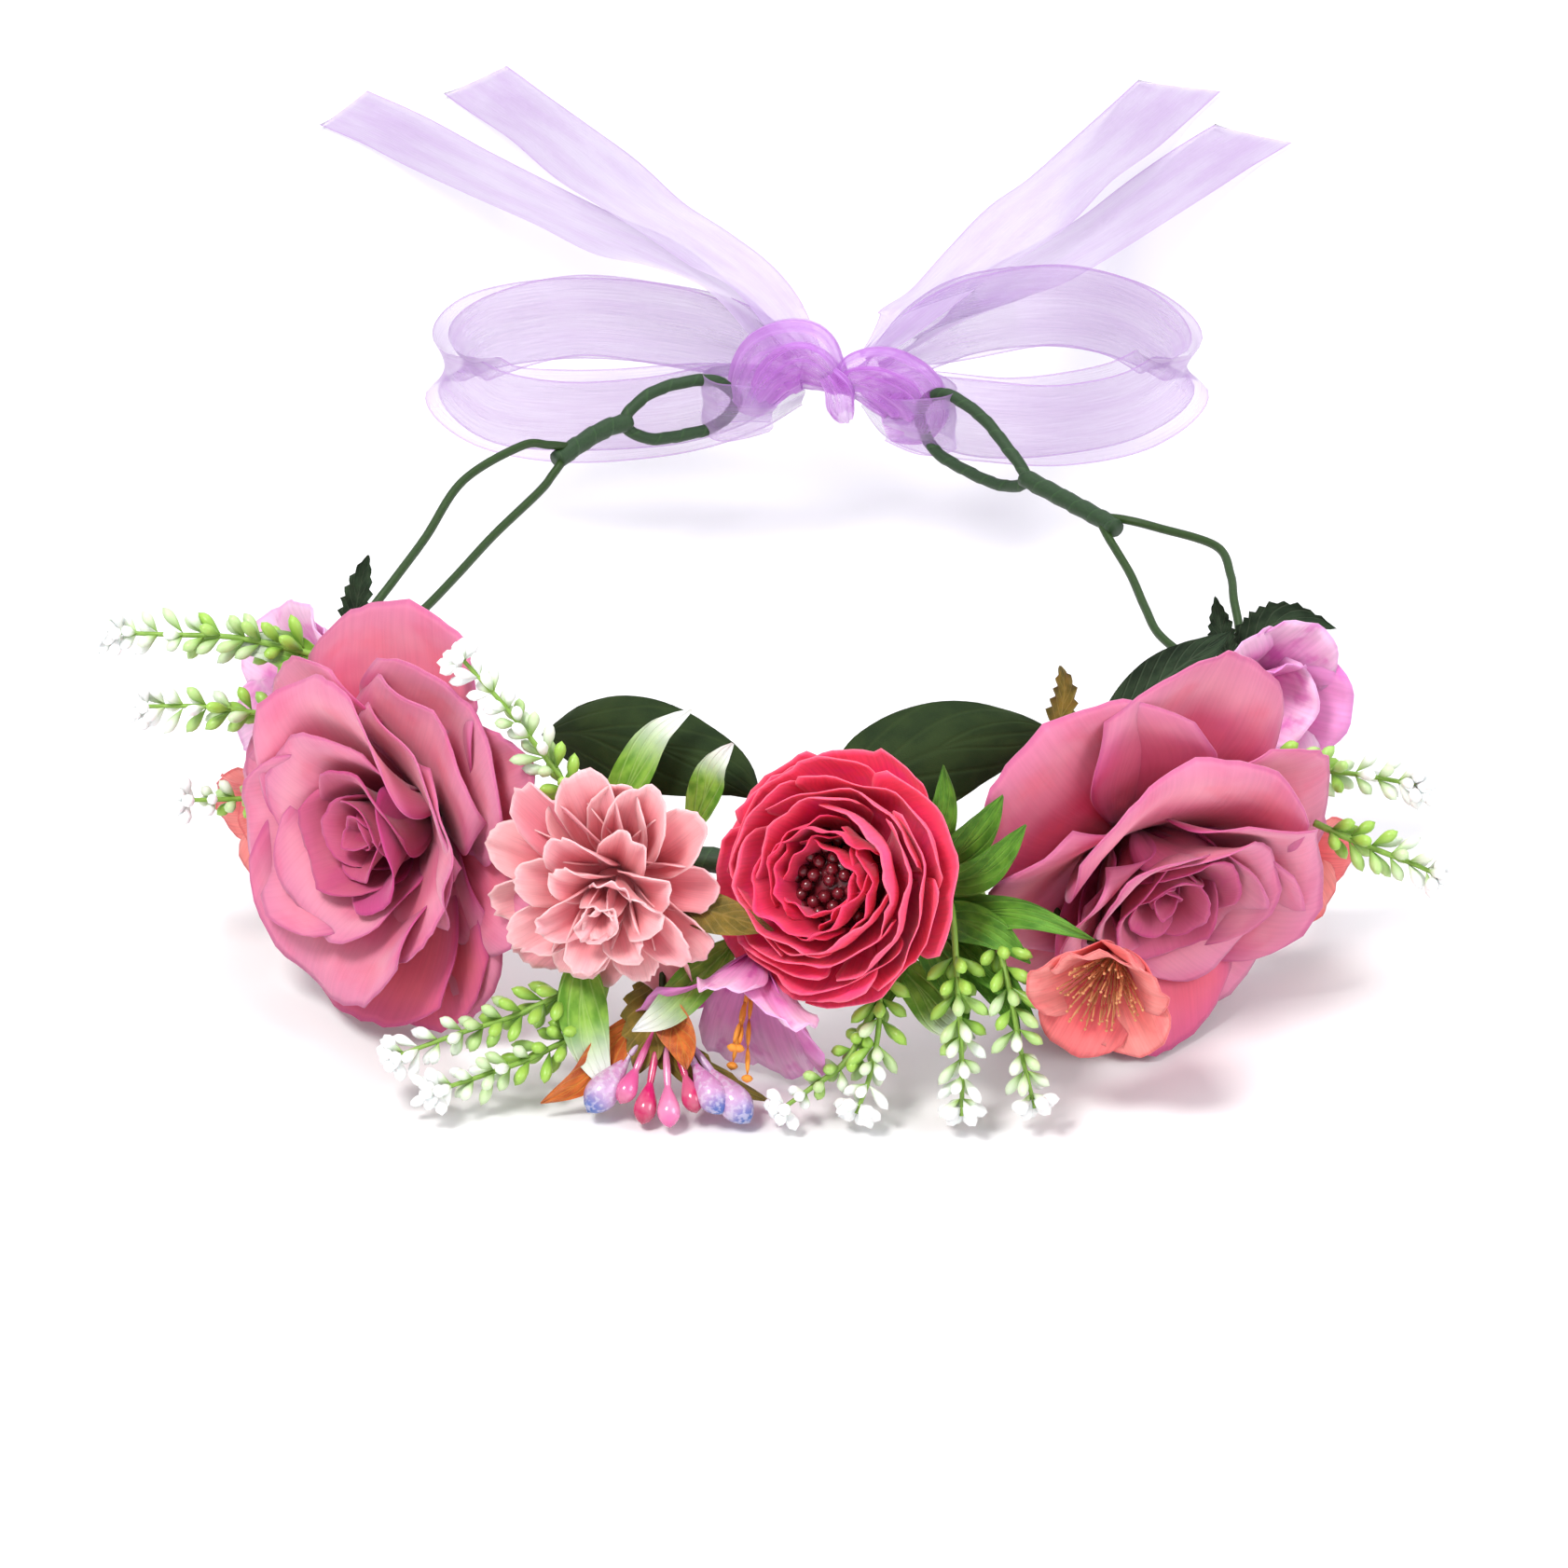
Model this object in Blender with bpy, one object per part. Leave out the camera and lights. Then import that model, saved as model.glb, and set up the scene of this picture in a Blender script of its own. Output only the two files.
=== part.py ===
"""Flower crown lying on a table, flowers to the front (-Y) and the ribbon bow to the back (+Y).
Metres, +Z up. The origin is the centre of the head ring, on the table's plane."""

import math

import bmesh
import bpy
from mathutils import Matrix, Vector

# Driving dimensions, in metres.
RING_RADIUS = 0.100
WIRE_RADIUS = 0.0015
TAPE_THICKNESS = 0.0010
ARM_WIRE_RADIUS = 0.0010
LOOP_WIRE_RADIUS = 0.0014
RIBBON_WIDTH = 0.020
RIBBON_THICKNESS = 0.0010
PETAL_THICKNESS = 0.0013
LEAF_THICKNESS = 0.0010
ROSE_RADIUS = 0.039
# The crown lies on the table on its roses, so they set the height of the ring.
RING_HEIGHT = ROSE_RADIUS + 0.007
ROSE_DEPTH = 0.017
RANUNCULUS_RADIUS = 0.0255
RANUNCULUS_DEPTH = 0.024
DAHLIA_RADIUS = 0.0235
DAHLIA_DEPTH = 0.010
BLOSSOM_RADIUS = 0.0145
CALYX_HEIGHT = 0.005
SPRIG_STEM_RADIUS = 0.0009
SPRIG_RADIUS = 0.0045
CLEARANCE = 0.0004
# The routes below are chosen by hand in millimetres, on a ring of this radius and height that
# carries roses of this radius.
ROUTE_RING = 0.100
ROUTE_HEIGHT = 0.046
ROUTE_ROSE = 0.039
MM = 0.001

BAND_RADIUS = WIRE_RADIUS + CLEARANCE + TAPE_THICKNESS
SEAT_GAP = 0.0012


def clear_scene():
    for thing in list(bpy.data.objects):
        bpy.data.objects.remove(thing, do_unlink=True)


def make_material(name, colour, roughness, metallic=0.0):
    material = bpy.data.materials.new(name)
    material.use_nodes = True
    shader = material.node_tree.nodes["Principled BSDF"]
    shader.inputs["Base Color"].default_value = (*colour, 1.0)
    shader.inputs["Roughness"].default_value = roughness
    shader.inputs["Metallic"].default_value = metallic
    material.diffuse_color = (*colour, 1.0)
    return material


def at(x, y, z):
    """A hand-chosen place in millimetres, spread out and raised with the ring."""
    spread = RING_RADIUS / ROUTE_RING * MM
    return Vector((x * spread, y * spread, z * MM * RING_HEIGHT / ROUTE_HEIGHT))


def beside_rose(x, y, z):
    """A hand-chosen place at the side of a rose: it moves out as the rose's radius grows."""
    side = 1 if x > 0 else -1
    return at(x, y, z) + Vector((side * (ROSE_RADIUS - ROUTE_ROSE), 0, 0))


def on_ring(angle_deg, height=RING_HEIGHT):
    angle = math.radians(angle_deg)
    return Vector((RING_RADIUS * math.cos(angle), RING_RADIUS * math.sin(angle), height))


def facing(azimuth_deg, tilt_deg):
    azimuth = math.radians(azimuth_deg)
    tilt = math.radians(tilt_deg)
    flat = math.cos(tilt)
    return Vector((flat * math.cos(azimuth), flat * math.sin(azimuth), math.sin(tilt)))


def smooth_route(points, steps, closed=False):
    """Catmull-Rom points through the route, with this many steps for each stretch."""
    if closed:
        ends = [points[-1], *points, points[0], points[1]]
    else:
        ends = [points[0] * 2 - points[1], *points, points[-1] * 2 - points[-2]]
    route = []
    for i in range(1, len(ends) - 2):
        before, start, end, after = ends[i - 1], ends[i], ends[i + 1], ends[i + 2]
        for step in range(steps):
            t = step / steps
            route.append(
                0.5
                * (
                    start * 2
                    + (end - before) * t
                    + (before * 2 - start * 5 + end * 4 - after) * t**2
                    + (start * 3 - before - end * 3 + after) * t**3
                )
            )
    if not closed:
        route.append(points[-1].copy())
    return route


def add_object(name, mesh, material, smooth=True):
    part = bpy.data.objects.new(name, mesh)
    bpy.context.scene.collection.objects.link(part)
    mesh.materials.append(material)
    if smooth:
        mesh.shade_smooth()
    return part


def finish_mesh(name, shape, material, smooth=True):
    bmesh.ops.recalc_face_normals(shape, faces=shape.faces)
    mesh = bpy.data.meshes.new(name)
    shape.to_mesh(mesh)
    shape.free()
    return add_object(name, mesh, material, smooth)


def bridge(shape, lower, upper):
    """Quads between two rings of the same length."""
    count = len(lower)
    for i in range(count):
        j = (i + 1) % count
        shape.faces.new((lower[i], lower[j], upper[j], upper[i]))


def revolve(name, profile, place, material, lobes=0, lobe_share=0.0, segments=18):
    """A closed body turned from a profile of (radius, height) whose two ends lie on the axis."""
    shape = bmesh.new()
    rings = []
    widest = max(radius for radius, _ in profile)
    for radius, height in profile[1:-1]:
        ring = []
        for i in range(segments):
            angle = math.tau * i / segments
            swell = 1 + lobe_share * (radius / widest) ** 2 * math.cos(lobes * angle)
            reach = radius * swell
            ring.append(shape.verts.new((reach * math.cos(angle), reach * math.sin(angle), height)))
        rings.append(ring)
    for lower, upper in zip(rings, rings[1:]):
        bridge(shape, lower, upper)
    for ring, height in ((rings[0], profile[0][1]), (rings[-1], profile[-1][1])):
        pole = shape.verts.new((0, 0, height))
        for i in range(segments):
            shape.faces.new((ring[i], ring[(i + 1) % segments], pole))
    part = finish_mesh(name, shape, material)
    part.matrix_world = place
    return part


def placed(seat, direction, spin_deg=0.0):
    """The matrix that stands local +Z along a direction, with its origin at the seat."""
    turn = direction.to_track_quat("Z", "Y").to_matrix().to_4x4()
    return Matrix.Translation(seat) @ turn @ Matrix.Rotation(math.radians(spin_deg), 4, "Z")


def cup_profile(radius, depth, start, power, thickness=PETAL_THICKNESS, rings=4):
    """Outside of a petal cup from its pole to the rim, then its inside back to the axis."""
    outside = [(0.0, start)]
    inside = []
    for i in range(1, rings + 1):
        share = i / rings
        height = start + depth * share**power
        outside.append((radius * share, height))
        inside.append((radius * share - 0.4 * thickness * share, height + thickness))
    return outside + inside[::-1] + [(0.0, start + thickness)]


def cup(name, place, material, radius, depth, start, power, lobes, lobe_share, segments=18):
    profile = cup_profile(radius, depth, start, power)
    return revolve(name, profile, place, material, lobes, lobe_share, segments)


def calyx(name, place, material, top_radius):
    """The green plastic cup that a flower's layers are threaded into."""
    profile = [
        (0.0, -CALYX_HEIGHT),
        (0.4 * top_radius, -CALYX_HEIGHT),
        (top_radius, -0.35 * CALYX_HEIGHT),
        (top_radius, -CLEARANCE),
        (0.0, -CLEARANCE),
    ]
    return revolve(name, profile, place, material, segments=10)


def tube(name, route, radii, material, sides=6):
    """A closed tube of varying radius along a route."""
    shape = bmesh.new()
    rings = []
    previous = None
    last = len(route) - 1
    for i, point in enumerate(route):
        ahead = route[min(i + 1, last)] - route[max(i - 1, 0)]
        ahead.normalize()
        if previous is None:
            side = ahead.orthogonal().normalized()
        else:
            side = (previous - ahead * previous.dot(ahead)).normalized()
        previous = side
        other = ahead.cross(side)
        radius = radii[i] if isinstance(radii, list) else radii
        ring = []
        for k in range(sides):
            angle = math.tau * k / sides
            way = side * math.cos(angle) + other * math.sin(angle)
            ring.append(shape.verts.new(point + way * radius))
        rings.append(ring)
    for lower, upper in zip(rings, rings[1:]):
        bridge(shape, lower, upper)
    shape.faces.new(rings[0])
    shape.faces.new(rings[-1])
    return finish_mesh(name, shape, material)


def sleeve(name, route, inner, outer, material, sides=8):
    """Tape wound round a wire: a hollow tube that is open at both ends."""
    shape = bmesh.new()
    rows = []
    last = len(route) - 1
    for i, point in enumerate(route):
        ahead = (route[min(i + 1, last)] - route[max(i - 1, 0)]).normalized()
        other = ahead.cross(Vector((0, 0, 1))).normalized()
        upward = other.cross(ahead)
        pair = []
        for radius in (outer, inner):
            ring = []
            for k in range(sides):
                angle = math.tau * k / sides
                outward = other * math.cos(angle) + upward * math.sin(angle)
                ring.append(shape.verts.new(point + outward * radius))
            pair.append(ring)
        rows.append(pair)
    for one, two in zip(rows, rows[1:]):
        bridge(shape, one[0], two[0])
        bridge(shape, one[1], two[1])
    for outer_ring, inner_ring in (rows[0], rows[-1]):
        bridge(shape, outer_ring, inner_ring)
    return finish_mesh(name, shape, material)


def closed_loop(name, centre_route, radius, tail_route, material, sides=6):
    """A wire bent into a closed eye, whose two strands meet in a straight taped tail."""
    shape = bmesh.new()
    rings = []
    count = len(centre_route)
    middle = sum(centre_route, Vector()) / count
    for i, point in enumerate(centre_route):
        ahead = (centre_route[(i + 1) % count] - centre_route[i - 1]).normalized()
        outward = point - middle
        outward = (outward - ahead * outward.dot(ahead)).normalized()
        other = ahead.cross(outward)
        ring = []
        for k in range(sides):
            angle = math.tau * k / sides
            way = outward * math.cos(angle) + other * math.sin(angle)
            ring.append(shape.verts.new(point + way * radius))
        rings.append(ring)
    for i in range(count):
        bridge(shape, rings[i], rings[(i + 1) % count])
    eye = finish_mesh(name, shape, material)
    tail = tube(name + "_tail", tail_route, radius * 1.5, material, 8)
    tail.hide_render = True
    tail.display_type = "WIRE"
    joined = eye.modifiers.new("taped tail", "BOOLEAN")
    joined.operation = "UNION"
    joined.solver = "EXACT"
    joined.use_self = True
    joined.object = tail
    return eye


def blade(name, spine, widths, lift, material, thickness=LEAF_THICKNESS):
    """A leaf: a thin lens section along a spine, its face turned by the lift direction."""
    shape = bmesh.new()
    rows = []
    last = len(spine) - 1
    for i, point in enumerate(spine):
        ahead = (spine[min(i + 1, last)] - spine[max(i - 1, 0)]).normalized()
        side = ahead.cross(lift).normalized()
        normal = side.cross(ahead)
        half = widths[i] / 2
        row = [
            shape.verts.new(point + side * half),
            shape.verts.new(point + normal * thickness / 2),
            shape.verts.new(point - side * half),
            shape.verts.new(point - normal * thickness / 2),
        ]
        rows.append(row)
    for one, two in zip(rows, rows[1:]):
        bridge(shape, one, two)
    shape.faces.new(rows[0])
    shape.faces.new(rows[-1])
    return finish_mesh(name, shape, material, smooth=False)


def strip(name, spine, across, width, material, thickness=RIBBON_THICKNESS):
    """A flat ribbon: a rectangle along a spine, across giving the width direction at each point."""
    shape = bmesh.new()
    rows = []
    last = len(spine) - 1
    for i, point in enumerate(spine):
        ahead = (spine[min(i + 1, last)] - spine[max(i - 1, 0)]).normalized()
        side = (across[i] - ahead * across[i].dot(ahead)).normalized()
        normal = ahead.cross(side)
        half = width[i] / 2 if isinstance(width, list) else width / 2
        row = []
        for a, b in ((1, 1), (-1, 1), (-1, -1), (1, -1)):
            row.append(shape.verts.new(point + side * half * a + normal * thickness / 2 * b))
        rows.append(row)
    for one, two in zip(rows, rows[1:]):
        bridge(shape, one, two)
    shape.faces.new(rows[0])
    shape.faces.new(rows[-1])
    return finish_mesh(name, shape, material, smooth=False)


def blended(values, count):
    """Values spread evenly along count points."""
    result = []
    for i in range(count):
        place = i / (count - 1) * (len(values) - 1)
        low = min(int(place), len(values) - 2)
        share = place - low
        result.append(values[low] * (1 - share) + values[low + 1] * share)
    return result


def band(colours):
    """The taped wire that runs under all the flowers."""
    points = [on_ring(angle) for angle in range(189, 352, 6)]
    tube("band_wire", points, WIRE_RADIUS, colours["wire"])
    taped = [on_ring(angle) for angle in range(192, 349, 7)]
    sleeve("band_tape", taped, WIRE_RADIUS + CLEARANCE, BAND_RADIUS, colours["tape"])


def rose(name, ring_angle, height, azimuth, tilt, colours):
    """Three nested layers of petals in a calyx, seated on the band."""
    direction = facing(azimuth, tilt)
    seat = on_ring(ring_angle, height) + direction * (BAND_RADIUS + SEAT_GAP + CALYX_HEIGHT)
    place = placed(seat, direction)
    calyx(name + "_calyx", place, colours["calyx"], 0.15 * ROSE_RADIUS)
    layer_gap = PETAL_THICKNESS + CLEARANCE
    rose_pink = colours["rose"]
    cup(name + "_outer_petals", place, rose_pink, ROSE_RADIUS, ROSE_DEPTH, 0.0, 1.5, 5, 0.07, 20)
    middle_radius = 0.70 * ROSE_RADIUS
    middle_depth = 1.35 * ROSE_DEPTH
    start = layer_gap
    cup(name + "_middle_petals", place, rose_pink, middle_radius, middle_depth, start, 1.5, 4, 0.06)
    bud_radius = 0.30 * ROSE_RADIUS
    bud_height = 1.25 * ROSE_DEPTH
    bud_start = 2 * layer_gap
    profile = [
        (0.0, bud_start),
        (0.35 * bud_radius, bud_start + 0.10 * bud_height),
        (0.80 * bud_radius, bud_start + 0.40 * bud_height),
        (bud_radius, bud_start + 0.80 * bud_height),
        (0.85 * bud_radius, bud_start + bud_height),
        (0.45 * bud_radius, bud_start + 0.92 * bud_height),
        (0.0, bud_start + 0.60 * bud_height),
    ]
    revolve(name + "_bud", profile, place, colours["rose_heart"], 3, 0.10, 14)


def ranunculus(ring_angle, height, azimuth, tilt, colours):
    """Three nested bowls of ruffled petals round a cluster of berries."""
    direction = facing(azimuth, tilt)
    seat = on_ring(ring_angle, height) + direction * (BAND_RADIUS + SEAT_GAP + CALYX_HEIGHT)
    place = placed(seat, direction)
    calyx("ranunculus_calyx", place, colours["calyx"], 0.2 * RANUNCULUS_RADIUS)
    step = PETAL_THICKNESS + CLEARANCE
    layers = (
        ("ranunculus_outer_petals", 1.0, 1.0, 2.4, "ranunculus"),
        ("ranunculus_middle_petals", 0.80, 0.98, 2.4, "ranunculus"),
        ("ranunculus_inner_petals", 0.62, 0.92, 2.4, "ranunculus_heart"),
    )
    for i, (name, width, depth, power, slot) in enumerate(layers):
        radius = width * RANUNCULUS_RADIUS
        cup(name, place, colours[slot], radius, depth * RANUNCULUS_DEPTH, i * step, power, 6, 0.03)
    base = 3 * step
    reach = 0.32 * RANUNCULUS_RADIUS
    top = 0.80 * RANUNCULUS_DEPTH
    profile = [
        (0.0, base),
        (0.7 * reach, base + 0.15 * top),
        (reach, base + 0.45 * top),
        (0.8 * reach, top),
        (0.0, top + 0.15 * reach),
    ]
    revolve("ranunculus_berry_centre", profile, place, colours["berry"], segments=12)


def dahlia(ring_angle, height, azimuth, tilt, colours):
    """A flat wheel of spoon petals, a second wheel above it and an upright core."""
    direction = facing(azimuth, tilt)
    seat = on_ring(ring_angle, height) + direction * (BAND_RADIUS + SEAT_GAP + 0.5 * CALYX_HEIGHT)
    place = placed(seat, direction)
    step = PETAL_THICKNESS + CLEARANCE
    pink = colours["dahlia"]
    cup("dahlia_outer_petals", place, pink, DAHLIA_RADIUS, DAHLIA_DEPTH, 0.0, 1.3, 9, 0.10, 27)
    inner_radius = 0.68 * DAHLIA_RADIUS
    cup("dahlia_inner_petals", place, pink, inner_radius, 1.3 * DAHLIA_DEPTH, step, 1.3, 7, 0.10, 21)
    reach = 0.36 * DAHLIA_RADIUS
    profile = [
        (0.0, 2 * step),
        (0.35 * reach, 2 * step + 0.15 * DAHLIA_DEPTH),
        (0.75 * reach, 2 * step + 0.90 * DAHLIA_DEPTH),
        (reach, 2 * step + 1.60 * DAHLIA_DEPTH),
        (0.5 * reach, 2 * step + 1.80 * DAHLIA_DEPTH),
        (0.0, 2 * step + 1.50 * DAHLIA_DEPTH),
    ]
    revolve("dahlia_core", profile, place, pink, 5, 0.12, 15)


def small_flower(name, centre, azimuth, tilt, radius, colour, spin=0.0, lobes=5, share=0.16):
    """A funnel of five petals whose short neck runs back to its wire stem."""
    direction = facing(azimuth, tilt)
    neck = 0.55 * radius
    place = placed(centre - direction * neck, direction, spin)
    profile = [
        (0.0, -0.25 * radius),
        (0.12 * radius, -0.20 * radius),
        (0.14 * radius, 0.0),
        (0.45 * radius, 0.30 * radius),
        (radius, 0.62 * radius),
        (0.97 * radius, 0.62 * radius + PETAL_THICKNESS),
        (0.42 * radius, 0.30 * radius + 1.5 * PETAL_THICKNESS),
        (0.0, 0.12 * radius + PETAL_THICKNESS),
    ]
    revolve(name, profile, place, colour, lobes, share, 15)
    return place


def stamens(name, place, radius, length, colour):
    """The brush of threads standing in a funnel."""
    profile = [
        (0.0, 0.45 * radius + CLEARANCE),
        (0.10 * radius, 0.46 * radius + CLEARANCE),
        (0.30 * radius, 0.45 * radius + 0.7 * length),
        (0.20 * radius, 0.45 * radius + length),
        (0.0, 0.45 * radius + length),
    ]
    revolve(name, profile, place, colour, segments=8)


def blossoms(colours):
    centre = at(67, -135, 35)
    place = small_flower("coral_blossom_petals", centre, 250, -10, BLOSSOM_RADIUS, colours["coral"])
    stamens("coral_blossom_stamens", place, BLOSSOM_RADIUS, 0.9 * BLOSSOM_RADIUS, colours["stamen"])
    place = small_flower("lily_petals", at(-5, -127, 17), 268, -12, BLOSSOM_RADIUS, colours["lilac"], 18)
    stamens("lily_stamen", place, BLOSSOM_RADIUS, 0.8 * BLOSSOM_RADIUS, colours["lily_stamen"])
    side_radius = 1.15 * BLOSSOM_RADIUS
    small_flower("left_lilac_flower", at(-113, -27, 50), 172, 10, side_radius, colours["lilac"])
    small_flower("right_lilac_flower", at(117, -30, 49), 345, 8, side_radius, colours["lilac"])
    centre = beside_rose(-124, -48, 23)
    small_flower("left_coral_flower", centre, 200, -18, side_radius, colours["coral"])
    centre = beside_rose(123, -60, 20)
    small_flower("right_coral_flower", centre, 335, -15, side_radius, colours["coral"])


def leaves(colours):
    """Satin leaves lie along the inner side of the band; the others are tucked behind the flowers."""
    lean = Vector((0, 0.94, 0.34))
    shape = [0.004, 0.013, 0.019, 0.019, 0.013, 0.004]
    left = [at(-57, -66, 62), at(-48, -75, 68), at(-38, -83, 70)]
    left += [at(-28, -89, 68), at(-18, -92, 63), at(-10, -94, 58)]
    blade("left_satin_leaf", left, shape, lean, colours["satin_leaf"])
    right = [at(8, -94, 58), at(16, -92, 64), at(26, -89, 69)]
    right += [at(36, -84, 71), at(46, -77, 69), at(55, -69, 63)]
    blade("right_satin_leaf", right, shape, lean, colours["satin_leaf"])
    serrated = colours["serrated_leaf"]
    narrow = [0.002, 0.009, 0.011, 0.009, 0.002]
    spine = [at(-101, -22, 52), at(-102, -20, 58), at(-102, -18, 64), at(-101, -15, 69), at(-99, -12, 74)]
    blade("left_serrated_leaf", spine, narrow, Vector((-1, 0.3, 0)), serrated)
    spine = [at(101, -16, 58), at(105, -13, 63), at(109, -11, 67), at(113, -9, 69), at(118, -8, 70)]
    blade("right_serrated_leaf", spine, narrow, Vector((0.2, 0.3, 1)), serrated)
    spine = [at(78, -52, 62), at(82, -44, 64), at(87, -36, 64), at(92, -29, 62), at(97, -22, 58)]
    blade("right_end_leaf", spine, [0.003, 0.010, 0.013, 0.010, 0.003], Vector((-0.5, 0.4, 1)), serrated)
    cluster = [at(35, -108, 44), at(36, -112, 52), at(36, -114, 60), at(35, -115, 68)]
    widths = [0.004, 0.011, 0.010, 0.002]
    blade("leaf_cluster", cluster, widths, Vector((0, -1, 0.2)), colours["bright_leaf"])
    spine = [at(-44, -113, 20), at(-43, -120, 17), at(-41, -127, 14), at(-39, -133, 11)]
    widths = [0.003, 0.009, 0.008, 0.002]
    blade("berry_pick_leaves", spine, widths, Vector((0, -0.5, 1)), colours["olive_leaf"])


def berry_pick(colours):
    """The fan of glossy and sugared drops below the dahlia."""
    direction = Vector((-0.05, -0.92, -0.30)).normalized()
    place = placed(at(-28, -120, 13), direction)
    profile = [
        (0.0, 0.0),
        (0.0015, 0.0004),
        (0.0050, 0.0060),
        (0.0085, 0.0120),
        (0.0070, 0.0145),
        (0.0, 0.0150),
    ]
    revolve("berry_pick_drops", profile, place, colours["drop"], segments=10)


def sprigs(colours):
    """Plastic sprigs: a thin stem that swells where the paired buds stand."""
    routes = {
        "top_sprig": [(-48, -97, 58), (-54, -96, 68), (-64, -96, 82), (-74, -94, 95)],
        "left_upper_sprig": [(-102, -48, 68), (-116, -48, 70), (-133, -47, 72), (-150, -45, 73)],
        "left_middle_sprig": [(-115, -54, 54), (-124, -54, 58), (-134, -54, 61), (-144, -54, 63)],
        "left_lower_sprig": [(-119, -62, 41), (-124, -64, 43), (-130, -66, 43.5), (-135, -67, 43)],
        "right_upper_sprig": [(110, -58, 47), (119, -61, 48), (129, -64, 47), (139, -66, 46)],
        "right_lower_sprig": [(115, -70, 39), (123, -74, 36), (133, -78, 33), (143, -80, 31)],
        "hanging_left_sprig": [(35, -122, 38), (36, -129, 27), (37, -135, 15), (37, -140, 4.6)],
        "hanging_right_sprig": [(44, -122, 38), (47, -129, 28), (50, -135, 17), (53, -139, 6)],
        "low_centre_sprig": [(19, -122, 25), (19, -128, 18), (17, -134, 11), (14, -138, 4.8)],
        "low_left_sprig": [(-51, -117, 21), (-62, -121, 19), (-75, -125, 16), (-88, -128, 13)],
        "low_outer_sprig": [(-50, -122, 11), (-59, -126, 11), (-69, -131, 10), (-79, -135, 8)],
    }
    for name, places in routes.items():
        placing = beside_rose if name in ("left_middle_sprig", "right_lower_sprig") else at
        route = smooth_route([placing(*place) for place in places], 2)
        swell = [0.2, 0.35, 0.8, 1.0, 1.0, 0.8, 0.35]
        radii = [SPRIG_STEM_RADIUS + share * (SPRIG_RADIUS - SPRIG_STEM_RADIUS) for share in swell]
        tube(name, route, radii, colours["sprig"], 6)


def arms(colours):
    """Two pairs of bendable wires that end in taped eyes for the ribbon."""
    wire = colours["arm_wire"]
    tape = colours["tape"]
    places = [(-99, -13.5, 47.8), (-95.5, -5, 53), (-89, 8, 56), (-82, 28, 56)]
    places += [(-74, 52, 57), (-61, 70, 56), (-54, 76, 53)]
    tube("left_arm_upper_wire", smooth_route([at(*p) for p in places], 3), ARM_WIRE_RADIUS, wire)
    places = [(-97.6, -13.5, 44.2), (-90, -4, 47.5), (-82, 8, 49), (-75, 25, 48)]
    places += [(-67, 45, 47), (-57, 65, 47), (-54, 72, 47.5)]
    tube("left_arm_lower_wire", smooth_route([at(*p) for p in places], 3), ARM_WIRE_RADIUS, wire)
    eye = [(-38, 92, 50), (-33, 96, 54.5), (-25, 99.5, 56), (-17, 101.5, 55.2), (-12.5, 102, 50)]
    eye += [(-17, 100, 44.8), (-25, 96.5, 44), (-33, 92.5, 45.5)]
    tail = smooth_route([at(-54, 77, 50), at(-46, 85, 50), at(-37, 92.5, 50)], 2)
    eye = smooth_route([at(*p) for p in eye], 3, True)
    closed_loop("left_tie_loop", eye, LOOP_WIRE_RADIUS, tail, tape)
    places = [(99, -13.5, 47.8), (99.5, -5, 51), (98.5, 6, 52.5), (98, 18, 52)]
    places += [(95, 32, 51.5), (82, 44, 49.5), (75, 49, 49)]
    tube("right_arm_outer_wire", smooth_route([at(*p) for p in places], 3), ARM_WIRE_RADIUS, wire)
    places = [(97.6, -13.5, 44.2), (89, -7, 44.5), (82, 4, 44.5), (79, 16, 44.5)]
    places += [(76, 30, 45), (73, 40, 45.5), (71, 45, 46)]
    tube("right_arm_inner_wire", smooth_route([at(*p) for p in places], 3), ARM_WIRE_RADIUS, wire)
    eye = [(53, 70, 47.5), (48, 78, 52), (42, 87, 55), (34, 94.5, 56), (29, 97, 50)]
    eye += [(32, 91, 43.8), (40, 82, 42.6), (48, 74, 43.5)]
    tail = smooth_route([at(71, 50, 47.5), at(62, 60, 47.5), at(52.5, 70.5, 47.5)], 2)
    eye = smooth_route([at(*p) for p in eye], 3, True)
    closed_loop("right_tie_loop", eye, LOOP_WIRE_RADIUS, tail, tape)


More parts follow.
